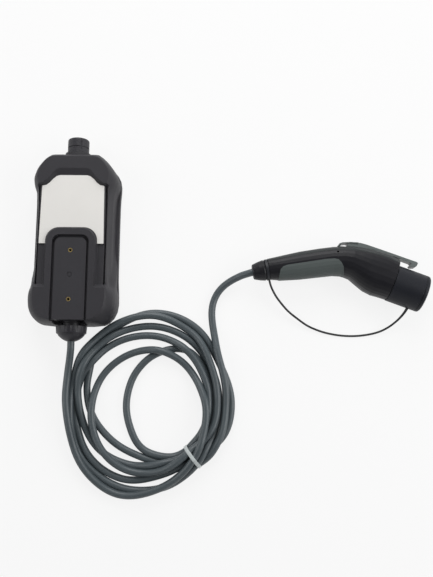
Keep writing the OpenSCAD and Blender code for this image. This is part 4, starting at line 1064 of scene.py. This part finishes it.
def make_finishes():
    """Finishes of the CAD parts that no piece stands for."""
    dress(moulded_finish("housing_plastic", tone(58, 57, 61), 0.55, 1400, 0.3, 0.05, gloss=0.3, soft_edge=0.0005),
          "front_housing")
    dress(moulded_finish("gland_plastic", tone(42, 41, 46), 0.45, 800, 0.12, 0.05, gloss=0.4),
          "gland_locknut", "inlet_shell", "inlet_insert", "inlet_locknut")
    dress(moulded_finish("seal_rubber", tone(30, 30, 31), 0.6, 500, 0.1), "housing_seal", "gland_seal", "inlet_gasket")
    dress(metal_finish("screw_steel", (0.62, 0.62, 0.64), 0.3), "housing_screws", "handle_screws", "lever_pin",
          "lever_spring")
    dress(metal_finish("insert_brass", (0.80, 0.60, 0.26), 0.28), "threaded_inserts")
    dress(metal_finish("pin_nickel", (0.78, 0.76, 0.72), 0.2), "inlet_pins")
    dress(metal_finish("contact_plate", (0.83, 0.72, 0.42), 0.22), "contacts")
    dress(clear_finish("window_smoke", tone(120, 124, 126), 0.15), "indicator_window")
    dress(clear_finish("guide_clear", tone(220, 225, 225), 0.1), "light_guides")
    dress(moulded_finish("board_mask", tone(22, 92, 60), 0.35, 600, 0.05), "main_board")
    dress(moulded_finish("relay_case", tone(40, 70, 130), 0.4), "relays")
    dress(moulded_finish("ferrite_core", tone(45, 45, 48), 0.7), "leakage_sensor", "latch_switch")
    dress(moulded_finish("transformer_tape", tone(205, 170, 95), 0.5), "supply_transformer")
    dress(moulded_finish("capacitor_sleeve", tone(40, 50, 75), 0.3), "capacitors")
    dress(moulded_finish("terminal_plastic", tone(50, 130, 80), 0.45), "output_terminals", "input_terminals")
    dress(moulded_finish("connector_plastic", tone(21, 21, 26), 0.42, 1300, 0.25, 0.05, gloss=0.28, soft_edge=0.0004),
          "rear_collar", "cable_clamp", "right_handle_shell", "left_handle_shell", "nose_barrel", "contact_block")
    dress(moulded_finish("spine_plastic", tone(36, 40, 41), 0.42, 1300, 0.2, 0.05, gloss=0.28, soft_edge=0.0004),
          "handle_spine")
    dress(moulded_finish("grip_rubber", tone(76, 83, 82), 0.55, 1500, 0.25, 0.05, gloss=0.4), "grip_insert")
    dress(moulded_finish("cap_rubber", tone(27, 29, 35), 0.48, 900, 0.15, 0.05, gloss=0.4, soft_edge=0.0004),
          "tether_ring")
    dress(moulded_finish("core_insulation", tone(150, 80, 50), 0.4), "contact_leads")


class EVC_PT_panel(bpy.types.Panel):
    """Pieces of the charger"""
    bl_label = "EV charger"
    bl_idname = "EVC_PT_panel"
    bl_space_type = "VIEW_3D"
    bl_region_type = "UI"
    bl_category = "EV charger"

    def draw(self, context):
        scene = context.scene
        for group, names in PANEL_ROWS:
            box = self.layout.box()
            for name in names:
                box.prop(getattr(scene, group), name)
        for operator in OPERATORS:
            self.layout.operator(operator.bl_idname)


PANEL_ROWS = [
    ("charger_box", ("colour", "label")),
    ("charger_connector", ("lever", "cap")),
    ("charger_lead", ("diameter", "colour", "tie_colour")),
    ("charger_stage", ("floor", "whiteness", "fill", "lamps")),
]
OPERATORS = (
    EVC_OT_control_box, EVC_OT_latch_and_cap, EVC_OT_coil_tie, EVC_OT_charging_lead, EVC_OT_cap_tether,
    EVC_OT_finishes, EVC_OT_stage)
GROUPS = (
    ("charger_box", BoxSettings), ("charger_connector", ConnectorSettings), ("charger_lead", LeadSettings),
    ("charger_stage", StageSettings))


def register():
    for name, group in GROUPS:
        bpy.utils.register_class(group)
        setattr(bpy.types.Scene, name, bpy.props.PointerProperty(type=group))
    for cls in (*OPERATORS, EVC_PT_panel):
        bpy.utils.register_class(cls)


def unregister():
    for cls in (EVC_PT_panel, *reversed(OPERATORS)):
        bpy.utils.unregister_class(cls)
    for name, group in reversed(GROUPS):
        delattr(bpy.types.Scene, name)
        bpy.utils.unregister_class(group)


def main():
    register()
    bpy.ops.ev_charger.stage()
    bpy.ops.ev_charger.latch_and_cap()
    bpy.ops.ev_charger.coil_tie()
    bpy.ops.ev_charger.charging_lead()
    bpy.ops.ev_charger.cap_tether()
    bpy.ops.ev_charger.control_box()
    bpy.ops.ev_charger.finishes()


if __name__ == "__main__":
    main()
